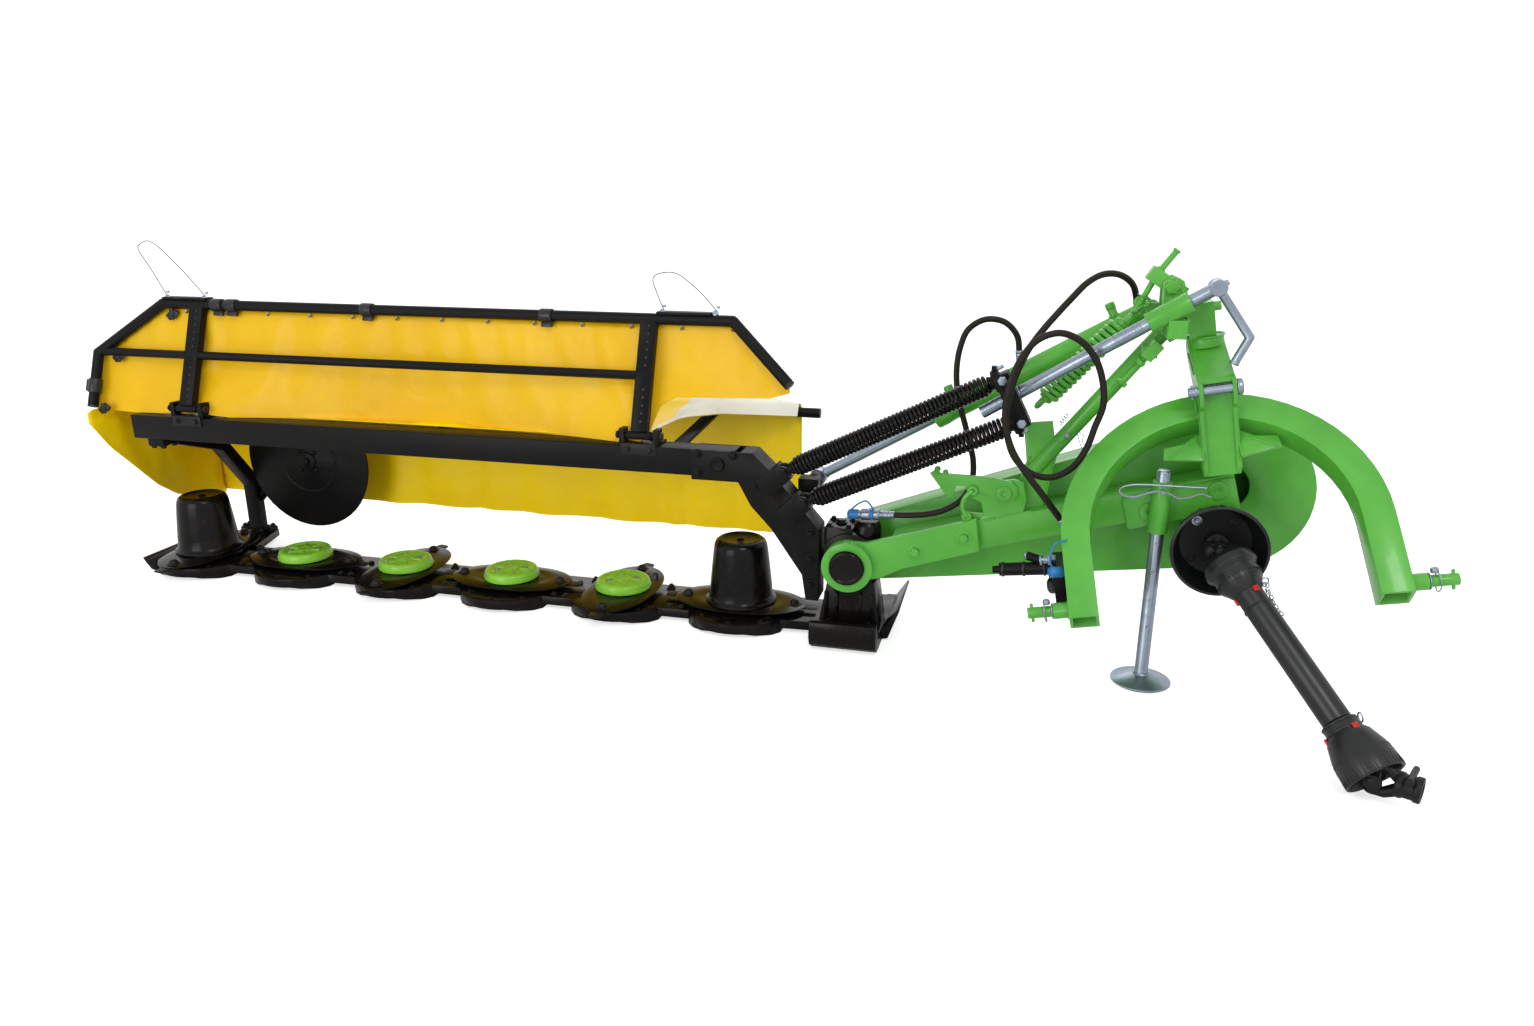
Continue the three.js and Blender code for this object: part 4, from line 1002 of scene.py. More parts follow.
class MakeDiscs(bpy.types.Operator):
    """Cutting discs with their blades and bolts, drums and caps"""

    bl_idname = "mower.discs"
    bl_label = "Discs, drums and caps"

    def execute(self, context):
        for k in range(1, DISCS + 1):
            x = disc_x(k)
            spin = Quaternion(UP, 0.0 if (DISCS - k) % 2 == 0 else math.pi / 2)
            body = f"disc_{k}"
            centre = at(x, 0, 0)

            def oval(share, z, count=72):
                layer = []
                for j in range(count):
                    t = 2 * math.pi * j / count
                    reach = 0.213 * share
                    wide = 0.120 * share * (1 - 0.05 * math.cos(2 * t) ** 2)
                    layer.append(centre + spin @ Vector((reach * math.cos(t), wide * math.sin(t),
                                                         z / 1000)))
                return layer

            mesh = bmesh.new()
            # pressed plate: sunk rim, raised shoulder, flat under the cap, 4 mm thick
            top = [(0.36, 97.4), (0.50, 97.4), (0.56, 95.6), (0.62, 97.6), (0.74, 97.9),
                   (0.86, 96.0), (0.95, 93.4), (1.0, 92.6)]
            under = [(1.0, 90.2), (0.95, 90.1), (0.86, 92.0), (0.74, 93.6), (0.36, 93.4)]
            made = rings(mesh, [oval(s, z) for s, z in top + under])
            mesh.faces.new(list(reversed(made[0])))
            mesh.faces.new(made[-1])
            turn(mesh, [(0, 0.084), (0.068, 0.084), (0.072, 0.086), (0.072, 0.093), (0, 0.093)],
                 centre, UP, 32)
            # two pressed ribs beside the hub
            for s in (-1, 1):
                ridge = [centre + spin @ Vector((0.095 * math.cos(t) * s, 0.07 * math.sin(t),
                                                 0.0972))
                         for t in (math.radians(a) for a in range(-50, 51, 10))]
                sweep(mesh, ridge, [0.0012] + [0.0026] * (len(ridge) - 2) + [0.0012], 8)
            made = piece(f"disc_{k}_plate", mesh, "black", body, 0.0006, 40)
            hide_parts(f"disc_{k}")

            mesh = bmesh.new()
            for s in (-1, 1):
                # knife: forged, ground on both long edges and twisted a little to lift the crop
                line = []
                for i in range(9):
                    f = i / 8
                    r = 0.150 + 0.098 * f
                    half = 0.0225 * (1 - 0.25 * max(0, f - 0.85) / 0.15)
                    twist = Quaternion(RIGHT, 0.09 * f)
                    section = [(-half, 0.0), (-half + 0.007, 0.0022), (half - 0.007, 0.0022),
                               (half, 0.0), (half - 0.007, -0.0018), (-half + 0.007, -0.0018)]
                    line.append([centre + spin @ (Vector((s * r, 0, 0.0887)) + twist @ Vector(
                        (0, y, z))) for y, z in section])
                made = rings(mesh, line)
                mesh.faces.new(made[0])
                mesh.faces.new(made[-1])
                knife = centre + spin @ Vector((s * 0.175, 0, 0.0885))
                turn(mesh, [(0, -0.0035), (0.012, -0.0035), (0.012, 0), (0, 0)], knife, UP, 6)
            piece(f"disc_{k}_knives", mesh, "iron", body, 0.0004)

            mesh = bmesh.new()
            for s in (-1, 1):
                place = centre + spin @ Vector((s * 0.175, 0, 0.0955))
                turn(mesh, [(0.021, -0.003), (0.0225, 0), (0.021, 0.002), (0.0155, 0.003),
                            (0.0150, 0.006), (0.0125, 0.0115), (0.007, 0.0148), (0, 0.0155)],
                     place, UP, 28)
            piece(f"disc_{k}_nuts", mesh, "iron", body)

            mesh = bmesh.new()
            if k in (1, DISCS):
                lobed(mesh, [(0.112, 0.0983, 0), (0.112, 0.1030, 0), (0.108, 0.1060, 0),
                             (0.1035, 0.1105, 0.004), (0.0995, 0.122, 0.010),
                             (0.0975, 0.150, 0.014), (0.0935, 0.190, 0.014),
                             (0.0895, 0.230, 0.014), (0.0855, 0.265, 0.012),
                             (0.0830, 0.280, 0.010), (0.0785, 0.291, 0.006),
                             (0.0700, 0.2975, 0.003), (0.0610, 0.2995, 0), (0.0585, 0.2985, 0),
                             (0.0565, 0.2950, 0), (0.0540, 0.2940, 0), (0.012, 0.2945, 0)],
                      centre, 3)
                turn(mesh, [(0, 0.294), (0.012, 0.294), (0.012, 0.298), (0.0065, 0.2985),
                            (0.006, 0.2999), (0, 0.2999)], centre, UP, 6)
                for a in range(4):
                    way = Quaternion(UP, math.radians(45 + 90 * a)) @ Vector((0.1065, 0, 0.1035))
                    turn(mesh, [(0, 0), (0.0052, 0), (0.0050, 0.002), (0.003, 0.0032), (0, 0.0035)],
                         centre + way, UP, 16)
                made = piece(f"disc_drum_{k}_finished", mesh, "black", body, 0.0006, 50)
                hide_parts(f"disc_drum_{k}")
            else:
                lobed(mesh, [(0.0880, 0.0983, 0), (0.0905, 0.1000, 0), (0.0910, 0.1030, 0),
                             (0.0905, 0.1075, 0), (0.0885, 0.1090, 0), (0.0875, 0.1180, 0.003),
                             (0.0855, 0.1230, 0.003), (0.0815, 0.1265, 0.002), (0.0760, 0.1282, 0),
                             (0.0690, 0.1285, 0), (0.0650, 0.1272, 0), (0.0620, 0.1248, 0),
                             (0.0585, 0.1240, 0), (0.030, 0.1240, 0), (0.027, 0.1262, 0),
                             (0.0235, 0.1286, 0), (0.0150, 0.1288, 0), (0.0130, 0.1275, 0),
                             (0.004, 0.1275, 0)], centre, 6)
                for a in range(6):
                    # moulded spokes and, between them, the heads of the screws that hold the cap
                    way = Quaternion(UP, math.radians(60 * a))
                    spoke = [centre + way @ Vector((r, 0, 0.1240)) for r in (0.028, 0.040, 0.060)]
                    sweep(mesh, spoke, [0.0040, 0.0046, 0.0040], 10)
                made = piece(f"disc_cap_{k}_finished", mesh, "lime", body, 0.0005, 50)
                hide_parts(f"disc_cap_{k}")
                mesh = bmesh.new()
                for a in range(2):
                    way = Quaternion(UP, math.radians(30 + 180 * a)) @ Vector((0.046, 0, 0.1238))
                    turn(mesh, [(0, 0), (0.0085, 0), (0.0085, 0.0020), (0.0072, 0.0034),
                                (0.0040, 0.0036), (0.0036, 0.0018), (0, 0.0018)],
                         centre + way, UP, 24)
                piece(f"disc_cap_{k}_screws", mesh, "zinc", body)
        return {"FINISHED"}


class MakeCutterbar(bpy.types.Operator):
    """Bar bolts, stone guards, gearbox castings and the bracket's pins"""

    bl_idname = "mower.cutterbar"
    bl_label = "Cutterbar details"

    def execute(self, context):
        body = "cutterbar_unit"
        mesh = bmesh.new()
        for k in range(1, DISCS + 1):
            # stone guard: a lip welded along the scalloped front of the bar
            arcs = [at(disc_x(k) + 168 * math.cos(t), 168 * math.sin(t), 73.5)
                    for t in (math.radians(a) for a in range(214, 327, 7))]
            inner = [at(disc_x(k) + 138 * math.cos(t), 138 * math.sin(t), 76.0)
                     for t in (math.radians(a) for a in range(214, 327, 7))]
            low = [p - UP * 0.003 for p in arcs]
            deep = [p - UP * 0.006 for p in inner]
            rings(mesh, [deep, inner, arcs, low, deep], closed=False)
            for a in (232, 270, 308):
                t = math.radians(a)
                turn(mesh, [(0, 0), (0.0085, 0), (0.008, 0.002), (0.005, 0.004), (0, 0.0046)],
                     at(disc_x(k) + 151 * math.cos(t), 151 * math.sin(t), 74.6), UP, 18)
        piece("stone_guards", mesh, "black", body, 0.0006)

        mesh = bmesh.new()
        for k in range(1, DISCS + 1):
            x = disc_x(k)
            for dx in (-135, 135):
                if -2120 < x + dx < 250:
                    bolt(mesh, at(x + dx, 88, 72), UP, 0.017, 0.009, tip=0.004)
            if k < DISCS:
                for dx, y in ((180, -60), (220, -60), (180, 60), (220, 60)):
                    turn(mesh, [(0, 0), (0.010, 0), (0.0095, 0.003), (0.006, 0.0055), (0, 0.006)],
                         at(x + dx, y, 72), UP, 20)
            turn(mesh, [(0, 0), (0.062, 0), (0.0615, 0.004), (0.050, 0.0075), (0, 0.0075)],
                 at(x, 0, 71.8), UP, 40)
        for x, y in ((-2060, 250), (-1990, 250), (-2110, 150), (-1950, 150)):
            bolt(mesh, at(x, y, 72), UP, 0.019, 0.010, tip=0.004)
        piece("bar_bolts", mesh, "iron", body, 0.0004)

        # gearbox: ribs, flange bolts, plugs and the cap over the journal
        mesh = bmesh.new()
        for a in range(0, 360, 45):
            t = math.radians(a)
            if not 60 < a < 120:
                outer = at(366 + 86 * math.cos(t), -58 + 74 * math.sin(t), 96)
                if -118 < -58 + 74 * math.sin(t) < 10:
                    bolt(mesh, outer, UP, 0.014, 0.008)
        for x, z in ((300, 262), (300, 322), (432, 262), (432, 322), (366, 214)):
            bolt(mesh, at(x, -124, z), TOWARDS_TRACTOR, 0.013, 0.007)
        for x, y in ((300, -98), (300, -26), (358, -98), (358, -26)):
            bolt(mesh, at(x, y, 392), UP, 0.013, 0.007)
        turn(mesh, [(0, 0), (0.0185, 0), (0.0185, 0.005), (0.014, 0.006), (0.014, 0.013),
                    (0, 0.013)], at(330, -62, 392), UP, 6)
        turn(mesh, [(0.0495, 0), (0.0500, 0.003), (0.0470, 0.0055), (0.0430, 0.006),
                    (0.0400, 0.003), (0.0370, 0.0022), (0, 0.0022)],
             at(366, -180, 292), TOWARDS_TRACTOR, 48)
        for x in (296, 330, 402, 436):
            block(mesh, at(x, -112, 150), (0.008, 0.022, 0.085))
        piece("gearbox_fittings", mesh, "black", body, 0.0008)

        # bracket: pin heads, seams and the bolts of the beam's socket
        mesh = bmesh.new()
        for (x, z), _ in BALANCE_ENDS:
            turn(mesh, [(0, 0), (0.019, 0), (0.0195, 0.002), (0.0185, 0.006), (0.013, 0.0075),
                        (0, 0.0075)], at(x, -226, z), TOWARDS_TRACTOR, 28)
            for s in (-1, 1):
                turn(mesh, [(0.0135, -0.0045), (0.022, -0.0045), (0.022, 0.0045),
                            (0.0135, 0.0045)], at(x, -190 + s * 22, z), TOWARDS_TRACTOR, 24)
        for x, z, r in ((-30, 570, 0.022), (100, 520, 0.014)):
            turn(mesh, [(0, 0), (r, 0), (r, 0.006), (r * 0.8, 0.008), (r * 0.78, 0.005),
                        (0, 0.005)], at(x, -144, z), TOWARDS_TRACTOR, 32)
        for x, z in ((-90, 600), (-90, 540), (20, 600)):
            bolt(mesh, at(x, -144, z), TOWARDS_TRACTOR, 0.017, 0.008)
        for x, z in ((250, 380), (250, 300), (250, 220)):
            bolt(mesh, at(x + 2, -144, z), TOWARDS_TRACTOR, 0.019, 0.010)
        piece("bracket_pins", mesh, "satin", body, 0.0008)

        # the swath disc's hub bolts and the outer arm's foot
        mesh = bmesh.new()
        swath = at(-1740, 252, 373)
        for a in range(4):
            way = Quaternion(TOWARDS_TRACTOR, math.radians(45 + 90 * a)) @ Vector((0.046, 0, 0))
            turn(mesh, [(0, 0), (0.009, 0), (0.0085, 0.003), (0.005, 0.005), (0, 0.0055)],
                 swath + way, TOWARDS_TRACTOR, 20)
        turn(mesh, [(0.120, 0), (0.122, 0.0016), (0.118, 0.0030), (0.112, 0.0016), (0.110, 0)],
             swath + Vector((0, 0.0004, 0)), TOWARDS_TRACTOR, 64)
        piece("swath_disc_hub", mesh, "satin", "swath_disc", 0.0004)
        mesh = bmesh.new()
        for x in (-2078, -1972):
            for y in (274, 298):
                bolt(mesh, at(x, y, 84), UP, 0.017, 0.009, tip=0.004)
        for x in (-2044, -2006):
            for y in (-124, -76):
                bolt(mesh, at(x, y, 505), -UP, 0.015, 0.008)
        piece("outer_arm_bolts", mesh, "iron", body, 0.0004)
        return {"FINISHED"}


class MakeGuard(bpy.types.Operator):
    """Wire bows, rail sleeves, hinge bolts, tube plugs and the posts' holes"""

    bl_idname = "mower.guard"
    bl_label = "Guard details"

    def execute(self, context):
        for name, feet, crown in (
                ("wire_bow_left", ((-2006, 378), (-1852, 378)), ((-2156, 556), (-2112, 566))),
                ("wire_bow_right", ((-232, 378), (-64, 378)), ((-282, 486), (-214, 494)))):
            (xa, ua), (xb, ub) = feet
            line = smooth_route([guard(xa, ua, 0), guard((xa + crown[0][0]) / 2 - 4,
                                                         (ua + crown[0][1]) / 2, 2),
                                 guard(crown[0][0] + 4, crown[0][1] - 12, 4),
                                 guard(crown[0][0] + 12, crown[0][1], 4),
                                 guard(crown[1][0], crown[1][1], 4),
                                 guard((crown[1][0] + xb) / 2, (crown[1][1] + ub) / 2 + 12, 2),
                                 guard(xb, ub, 0)], 10)
            mesh = bmesh.new()
            sweep(mesh, line, 0.0015, 8)
            bow = piece(name, mesh, "wire", "front_guard")

        mesh = bmesh.new()
        for x in (-1800, -1745, -1235, -610):
            half = 0.020
            turn(mesh, [(0.0172, -half), (0.0205, -half), (0.0212, -half + 0.004),
                        (0.0212, half - 0.004), (0.0205, half), (0.0172, half)],
                 guard(x, 352), RIGHT, 28)
            block(mesh, guard(x, 327, 6), (2 * half * 0.9, 0.010, 0.018),
                  Quaternion(RIGHT, -GUARD_TILT))
            for s in (-1, 1):
                turn(mesh, [(0, 0), (0.0035, 0), (0.003, 0.0018), (0, 0.002)],
                     guard(x + s * 11, 352, -20.6), GUARD_OUT, 12)
        down = guard(0, 1) - guard(0, 0)
        turn(mesh, [(0.0172, -0.024), (0.0205, -0.024), (0.0212, -0.020), (0.0212, 0.020),
                    (0.0205, 0.024), (0.0172, 0.024)], guard(-2262, 60), down, 28)
        block(mesh, guard(-2262 - 18, 60, 0), (0.014, 0.026, 0.040), Quaternion(RIGHT, -GUARD_TILT))
        piece("rail_sleeves", mesh, "plastic", "front_guard", 0.0008)

        mesh = bmesh.new()
        plug = [(0, -0.004), (0.0165, -0.004), (0.0172, 0), (0.0165, 0.003), (0.010, 0.0045),
                (0, 0.005)]
        turn(mesh, plug, guard(-2262, -10), guard(0, -1) - guard(0, 0), 28)
        turn(mesh, plug, guard(170, 170), guard(186, 154) - guard(170, 170), 28)
        piece("rail_plugs", mesh, "plastic", "front_guard", 0.0005)
        mesh = bmesh.new()
        for s, x in ((-1, -2238), (1, 172)):
            turn(mesh, [(0, -0.01), (0.0128, -0.01), (0.0128, 0), (0.0165, 0), (0.0165, 0.003),
                        (0.010, 0.0042), (0, 0.0045)], at(x, 372, 628), RIGHT * s, 28)
        piece("rear_rail_plugs", mesh, "plastic", "cutterbar_unit", 0.0005)

        # punched holes of the posts: a bright chamfer round a black disc that paints the shade inside the bore
        for kind, profile in (
                ("rims", [(0.0036, 0.0), (0.0040, 0.0006), (0.0052, 0.0007), (0.0056, 0.0)]),
                ("painted_shade_discs", [(0, 0.00012), (0.0037, 0.00012), (0.0037, -0.001), (0, -0.001)])):
            mesh = bmesh.new()
            for x in POSTS:
                for u in range(40, 345, 24):
                    if abs(u - 180) > 22:
                        turn(mesh, profile, guard(x + 4, u, -13.0),
                             GUARD_OUT, 16)
            piece("post_hole_" + kind, mesh, "satin" if kind == "rims" else "plastic",
                  "front_guard")
        mesh = bmesh.new()
        for x in POSTS:
            for s in (-1, 1):
                turn(mesh, [(0, 0), (0.0125, 0), (0.0125, 0.004), (0.0115, 0.007), (0, 0.007)],
                     at(x + s * 66, -128, 640), RIGHT * s, 6)
        piece("hinge_nuts", mesh, "iron", "front_guard", 0.0004)
        mesh = bmesh.new()
        for x in POSTS:
            for s in (-1, 1):
                bolt(mesh, at(x + s * 28, -86, 618), UP, 0.013, 0.008, tip=0.004)
            block(mesh, at(x, -141.5, 600), (0.110, 0.004, 0.034))
            for s in (-1, 1):
                bolt(mesh, at(x + s * 36, -143.5, 600), TOWARDS_TRACTOR, 0.013, 0.007)
        piece("hinge_bolts", mesh, "iron", "cutterbar_unit", 0.0006)

        # latch bars: clevis bolts at each end of the raised frame's crown
        mesh = bmesh.new()
        for x in (-2000, -1855, -236, -70):
            turn(mesh, [(0, 0), (0.0100, 0), (0.0100, 0.003), (0.0075, 0.0055), (0, 0.006)],
                 guard(x, 372, -4), GUARD_OUT, 24)
        for x in (-2006, -1852, -232, -64):
            turn(mesh, [(0.0018, -0.002), (0.0050, -0.002), (0.0055, 0), (0.0050, 0.0045),
                        (0.0018, 0.0045)], guard(x, 391, 0), UP, 16)
        piece("latch_bolts", mesh, "zinc", "front_guard", 0.0004)
        # welds: posts to rails
        mesh = bmesh.new()
        for x in POSTS:
            for s in (-1, 1):
                bead(mesh, guard(x + s * 25, 336, -13), guard(x + s * 25, 336, 13), 0.0035)
                bead(mesh, guard(x + s * 25, 171, -12), guard(x + s * 25, 189, -12), 0.003)
        piece("guard_welds", mesh, "satin", "front_guard")
        return {"FINISHED"}


def bead(mesh, a, b, radius, seed=0):
    """A weld bead: a run of overlapping ripples along a seam."""
    a, b = Vector(a), Vector(b)
    count = max(4, int((b - a).length / (radius * 0.9)))
    points = [a + (b - a) * i / count for i in range(count + 1)]
    radii = [radius * (0.80 + 0.28 * (i % 2) + 0.08 * noise.noise(p * 90 + Vector((seed, 0, 0))))
             for i, p in enumerate(points)]
    radii[0] = radii[-1] = radius * 0.45
    sweep(mesh, points, radii, 7)


def loop_bead(mesh, centre, axis, r, radius, count=40):
    """A weld bead round a boss."""
    side, other = square_to(axis)
    layer = []
    for i in range(count):
        t = 2 * math.pi * i / count
        swell = radius * (0.85 + 0.25 * (i % 2))
        middle = Vector(centre) + (side * math.cos(t) + other * math.sin(t)) * r
        out = (side * math.cos(t) + other * math.sin(t))
        layer.append([middle + (out * math.cos(a) + Vector(axis).normalized() * math.sin(a)) * swell
                      for a in (2 * math.pi * j / 6 for j in range(6))])
    rings(mesh, layer + [layer[0]])
    bmesh.ops.remove_doubles(mesh, verts=mesh.verts, dist=1e-7)


def r_clip(mesh, place, along_way, down_way, length=0.07, wire=0.0022, depth=1.0):
    """A spring cotter: one straight leg, one leg with its wave, joined by a round eye."""
    place, a, d = Vector(place), Vector(along_way).normalized(), Vector(down_way).normalized()
    shape = [(0, 0), (0.3, 0), (0.62, 0), (0.84, 0.02), (0.97, 0.09), (1.0, 0.18), (0.94, 0.27),
             (0.82, 0.29), (0.68, 0.20), (0.54, 0.13), (0.42, 0.17), (0.32, 0.26), (0.20, 0.24),
             (0.06, 0.14), (-0.06, 0.20)]
    sweep(mesh, smooth_route([place + (a * x + d * y * depth) * length for x, y in shape], 6),
          wire / 2, 8)


def chain(mesh, a, b, sag, link=0.017, wire=0.0030):
    """A welded chain that hangs from a to b."""
    a, b = Vector(a), Vector(b)
    span = (b - a).length
    count = max(3, int(span * (1 + 2.6 * (sag / span) ** 2) / (link * 0.72)))
    places = [a.lerp(b, i / count) - UP * sag * 4 * (i / count) * (1 - i / count)
              for i in range(count + 1)]
    for i, (p, q) in enumerate(zip(places, places[1:])):
        way = (q - p).normalized()
        side, other = square_to(way)
        flat = side if i % 2 else other
        middle = (p + q) / 2
        half, r = link / 2 - wire, 0.0042
        line = []
        for s in (1, -1):
            for j in range(7):
                t = math.pi * j / 6 - math.pi / 2
                line.append(middle + way * s * (half - r + r * math.cos(t))
                            + flat * s * r * math.sin(t))
        tube = []
        count_line = len(line)
        for j, point in enumerate(line):
            along = (line[(j + 1) % count_line] - line[j - 1]).normalized()
            out = along.cross(flat.cross(way)).normalized()
            up = along.cross(out)
            tube.append([point + (out * math.cos(c) + up * math.sin(c)) * wire / 2
                         for c in (2 * math.pi * m / 6 for m in range(6))])
        tube.append(tube[0])
        rings(mesh, tube)
    bmesh.ops.remove_doubles(mesh, verts=mesh.verts, dist=1e-7)


class MakeCarrier(bpy.types.Operator):
    """Pins, bolts, welds, latch and couplings of the carrier beam and the mast head"""

    bl_idname = "mower.carrier"
    bl_label = "Carrier details"

    def execute(self, context):
        body = "carrier"
        beam_way = (at(1390, -80, 593) - at(500, -80, 343)).normalized()
        beam_up = Vector((-beam_way.z, 0, beam_way.x))

        def on_beam(u, v, y):
            return at(500, y, 343) + beam_way * u / 1000 + beam_up * v / 1000

        # the pivot arm's two bolts, on their round pads
        mesh = bmesh.new()
        for x, z in ((560, 352), (694, 405)):
            turn(mesh, [(0, 0), (0.024, 0), (0.0242, 0.0012), (0.0232, 0.0022), (0, 0.0022)],
                 at(x, -150, z), TOWARDS_TRACTOR, 32)
            bolt(mesh, at(x, -152, z), TOWARDS_TRACTOR, 0.024, 0.012, washer=False)
        for u, v in ((700, -18), (880, 6)):
            turn(mesh, [(0, 0), (0.026, 0), (0.0262, 0.003), (0.0245, 0.0045), (0.0050, 0.0045),
                        (0.0046, 0.0025), (0, 0.0025)], on_beam(u, v, -138.4), TOWARDS_TRACTOR, 36)
        for x, z, r in ((797, 537, 0.021), (711, 541, 0.009), (612, 586, 0.007)):
            turn(mesh, [(0, 0), (r, 0), (r * 1.02, 0.003), (r * 0.9, 0.0045), (r * 0.45, 0.0045),
                        (r * 0.40, 0.002), (0, 0.002)], at(x, -134, z), TOWARDS_TRACTOR, 28)
        for x, y, z in ((1181, -118, 1032), (1206, -118, 1002)):
            turn(mesh, [(0, 0), (0.020, 0), (0.0205, 0.002), (0.019, 0.004), (0.008, 0.004),
                        (0.0075, 0.002), (0, 0.002)], at(x, y, z), TOWARDS_TRACTOR, 32)
        # nuts at the tension bar's pivot and at the head's nose
        top = at(1176.6, 0, 1106.3)
        turn(mesh, [(0, 0), (0.020, 0), (0.020, 0.006), (0.017, 0.009), (0, 0.009)],
             Vector((top.x, at(0, -124, 0).y, top.z)), TOWARDS_TRACTOR, 6)
        piece("carrier_bolts", mesh, "green", body, 0.0006)

        # curved latch that drops over the hook's notch, and its spring arm
        mesh = bmesh.new()
        link = smooth_route([at(711, -139, 541), at(692, -139, 521), at(685, -139, 494),
                             at(698, -139, 464)], 6)
        sweep(mesh, link, 0.0070, 10)
        for x, z in ((711, 541), (698, 464)):
            turn(mesh, [(0, -0.020), (0.012, -0.020), (0.012, -0.003), (0.014, -0.003),
                        (0.015, 0.004), (0.013, 0.0075), (0.006, 0.0075), (0.0055, 0.004),
                        (0, 0.004)], at(x, -135, z), TOWARDS_TRACTOR, 24)
        block(mesh, at(722, -121, 462), (0.048, 0.008, 0.022))
        turn(mesh, [(0, 0), (0.008, 0), (0.009, 0.004), (0.008, 0.010), (0.004, 0.013), (0, 0.013)],
             at(612, -130, 590), Vector((-0.3, 0, 1)), 16)
        turn(mesh, [(0, 0), (0.007, 0), (0.008, 0.004), (0.007, 0.008), (0.003, 0.011), (0, 0.011)],
             at(634, -130, 584), Vector((-0.2, 0, 1)), 16)
        piece("hook_latch", mesh, "green", body, 0.0006)

        # weld beads
        mesh = bmesh.new()
        for a, b, r in (
                (on_beam(10, 40, -129), on_beam(300, 40, -129), 0.0035),
                (on_beam(320, 40, -126), on_beam(400, 40, -126), 0.0035),
                (on_beam(640, 29, -134), on_beam(915, 33, -134), 0.0030),
                (on_beam(640, -56, -134), on_beam(915, -52, -134), 0.0030),
                (on_beam(640, -55, -134), on_beam(640, 28, -134), 0.0030),
                (at(739, -130, 368), at(725, -130, 462), 0.0040),
                (at(838, -87, 560), at(860, -87, 640), 0.0035),
                (at(905, -87, 500), at(926, -87, 640), 0.0035),
                (at(1158, -104, 985), at(1158, -56, 985), 0.0040),
                (at(1167, -118, 1010), at(1167, -70, 1010), 0.0040),
                (at(1213, -214, 1033), at(1213, -120, 1033), 0.0040)):
            bead(mesh, a, b, r)
        piece("carrier_welds", mesh, "green", body)

        # the relief spring's hook, its link and the eyebolt's nuts
        mesh = bmesh.new()
        for centre, axis in ((at(1100, -80, 1045), Vector((0.55, 0, -0.83))),
                             (at(1112, -80, 1064), REARWARD)):
            side, other = square_to(axis)
            rim = [centre + (side * math.cos(t) * 0.017 + other * math.sin(t) * 0.013)
                   for t in (2 * math.pi * i / 24 for i in range(25))]
            sweep(mesh, rim, 0.0042, 8, caps=False)
        bolt(mesh, at(1142, -80, 1137), at(1181, -80, 1192) - at(1138, -80, 1130), 0.022, 0.013)
        bolt(mesh, at(1114, -80, 1078), at(1112, -80, 1072) - at(1142, -80, 1137), 0.020, 0.011)
        turn(mesh, [(0, 0), (0.0105, 0), (0.0105, 0.004), (0.009, 0.006), (0, 0.006)],
             at(1181, -80, 1192), at(1181, -80, 1192) - at(1138, -80, 1130), 20)
        piece("relief_hook", mesh, "green", body, 0.0006)

        # threads: the adjusting bolt's, and the spindle's lower end
        mesh = bmesh.new()
        low, high = at(725, -190, 774), at(1277, -190, 1116)
        spin = (high - low).normalized()
        sweep(mesh, coil_points(low + spin * 0.001, low + spin * 0.112, 0.0166, 28, 20), 0.0013, 6)
        sweep(mesh, coil_points(low + spin * 0.375, low + spin * 0.452, 0.0166, 19, 20), 0.0013, 6)
        turn(mesh, [(0.0169, -0.0002), (0.0150, -0.0018), (0.0110, -0.0024), (0, -0.0024)],
             low + spin * 0.0002, spin, 28)
        hub = high - spin * 0.004
        for s in (1, -1):
            turn(mesh, [(0, 0), (0.0205, 0), (0.0205, 0.0015), (0.0180, 0.0035), (0, 0.0035)],
                 Vector((hub.x, at(0, -190 + 25 * s, 0).y, hub.z)), Vector((0, s, 0)), 32)
        turn(mesh, [(0, 0), (0.0085, 0), (0.0085, 0.006), (0.0070, 0.0085), (0, 0.0085)],
             hub + spin * 0.019, spin, 6)
        turn(mesh, [(0, -0.002), (0.0112, -0.002), (0.0124, 0.001), (0.0112, 0.005), (0, 0.006)],
             at(1330, -215, 935), at(1330, -215, 935) - at(1359, -205, 996), 20)
        piece("spindle_thread", mesh, "zinc", body, 0.0)
        mesh = bmesh.new()
        a, b = at(1076, -128, 860), at(1150, -128, 955)
        way = (b - a).normalized()
        sweep(mesh, coil_points(a + way * 0.045, a + way * 0.088, 0.0079, 18, 16), 0.0009, 6)
        for u in (0.062, 0.083):
            turn(mesh, [(0, 0), (0.0140, 0), (0.0140, 0.010), (0.0125, 0.0125), (0, 0.0125)],
                 a + way * u, way, 6)
        turn(mesh, [(0, 0), (0.0115, 0), (0.012, 0.002), (0.010, 0.0045), (0, 0.005)], a, -way, 20)
        piece("adjuster_nuts", mesh, "green", body, 0.0004)

        # strut: its pin and cotter
        mesh = bmesh.new()
        place = at(952, -102, 704)
        turn(mesh, [(0, -0.01), (0.0075, -0.01), (0.0075, 0.004), (0.006, 0.0055), (0, 0.0055)],
             place, TOWARDS_TRACTOR, 20)
        r_clip(mesh, at(976, -104, 716), Vector((0.35, 0, -1)), Vector((1, 0, 0.2)), 0.055)
        sweep(mesh, coil_points(at(930, -104, 735), at(950, -104, 762), 0.006, 4, 14), 0.0011, 6)
        piece("strut_cotter", mesh, "zinc", body)

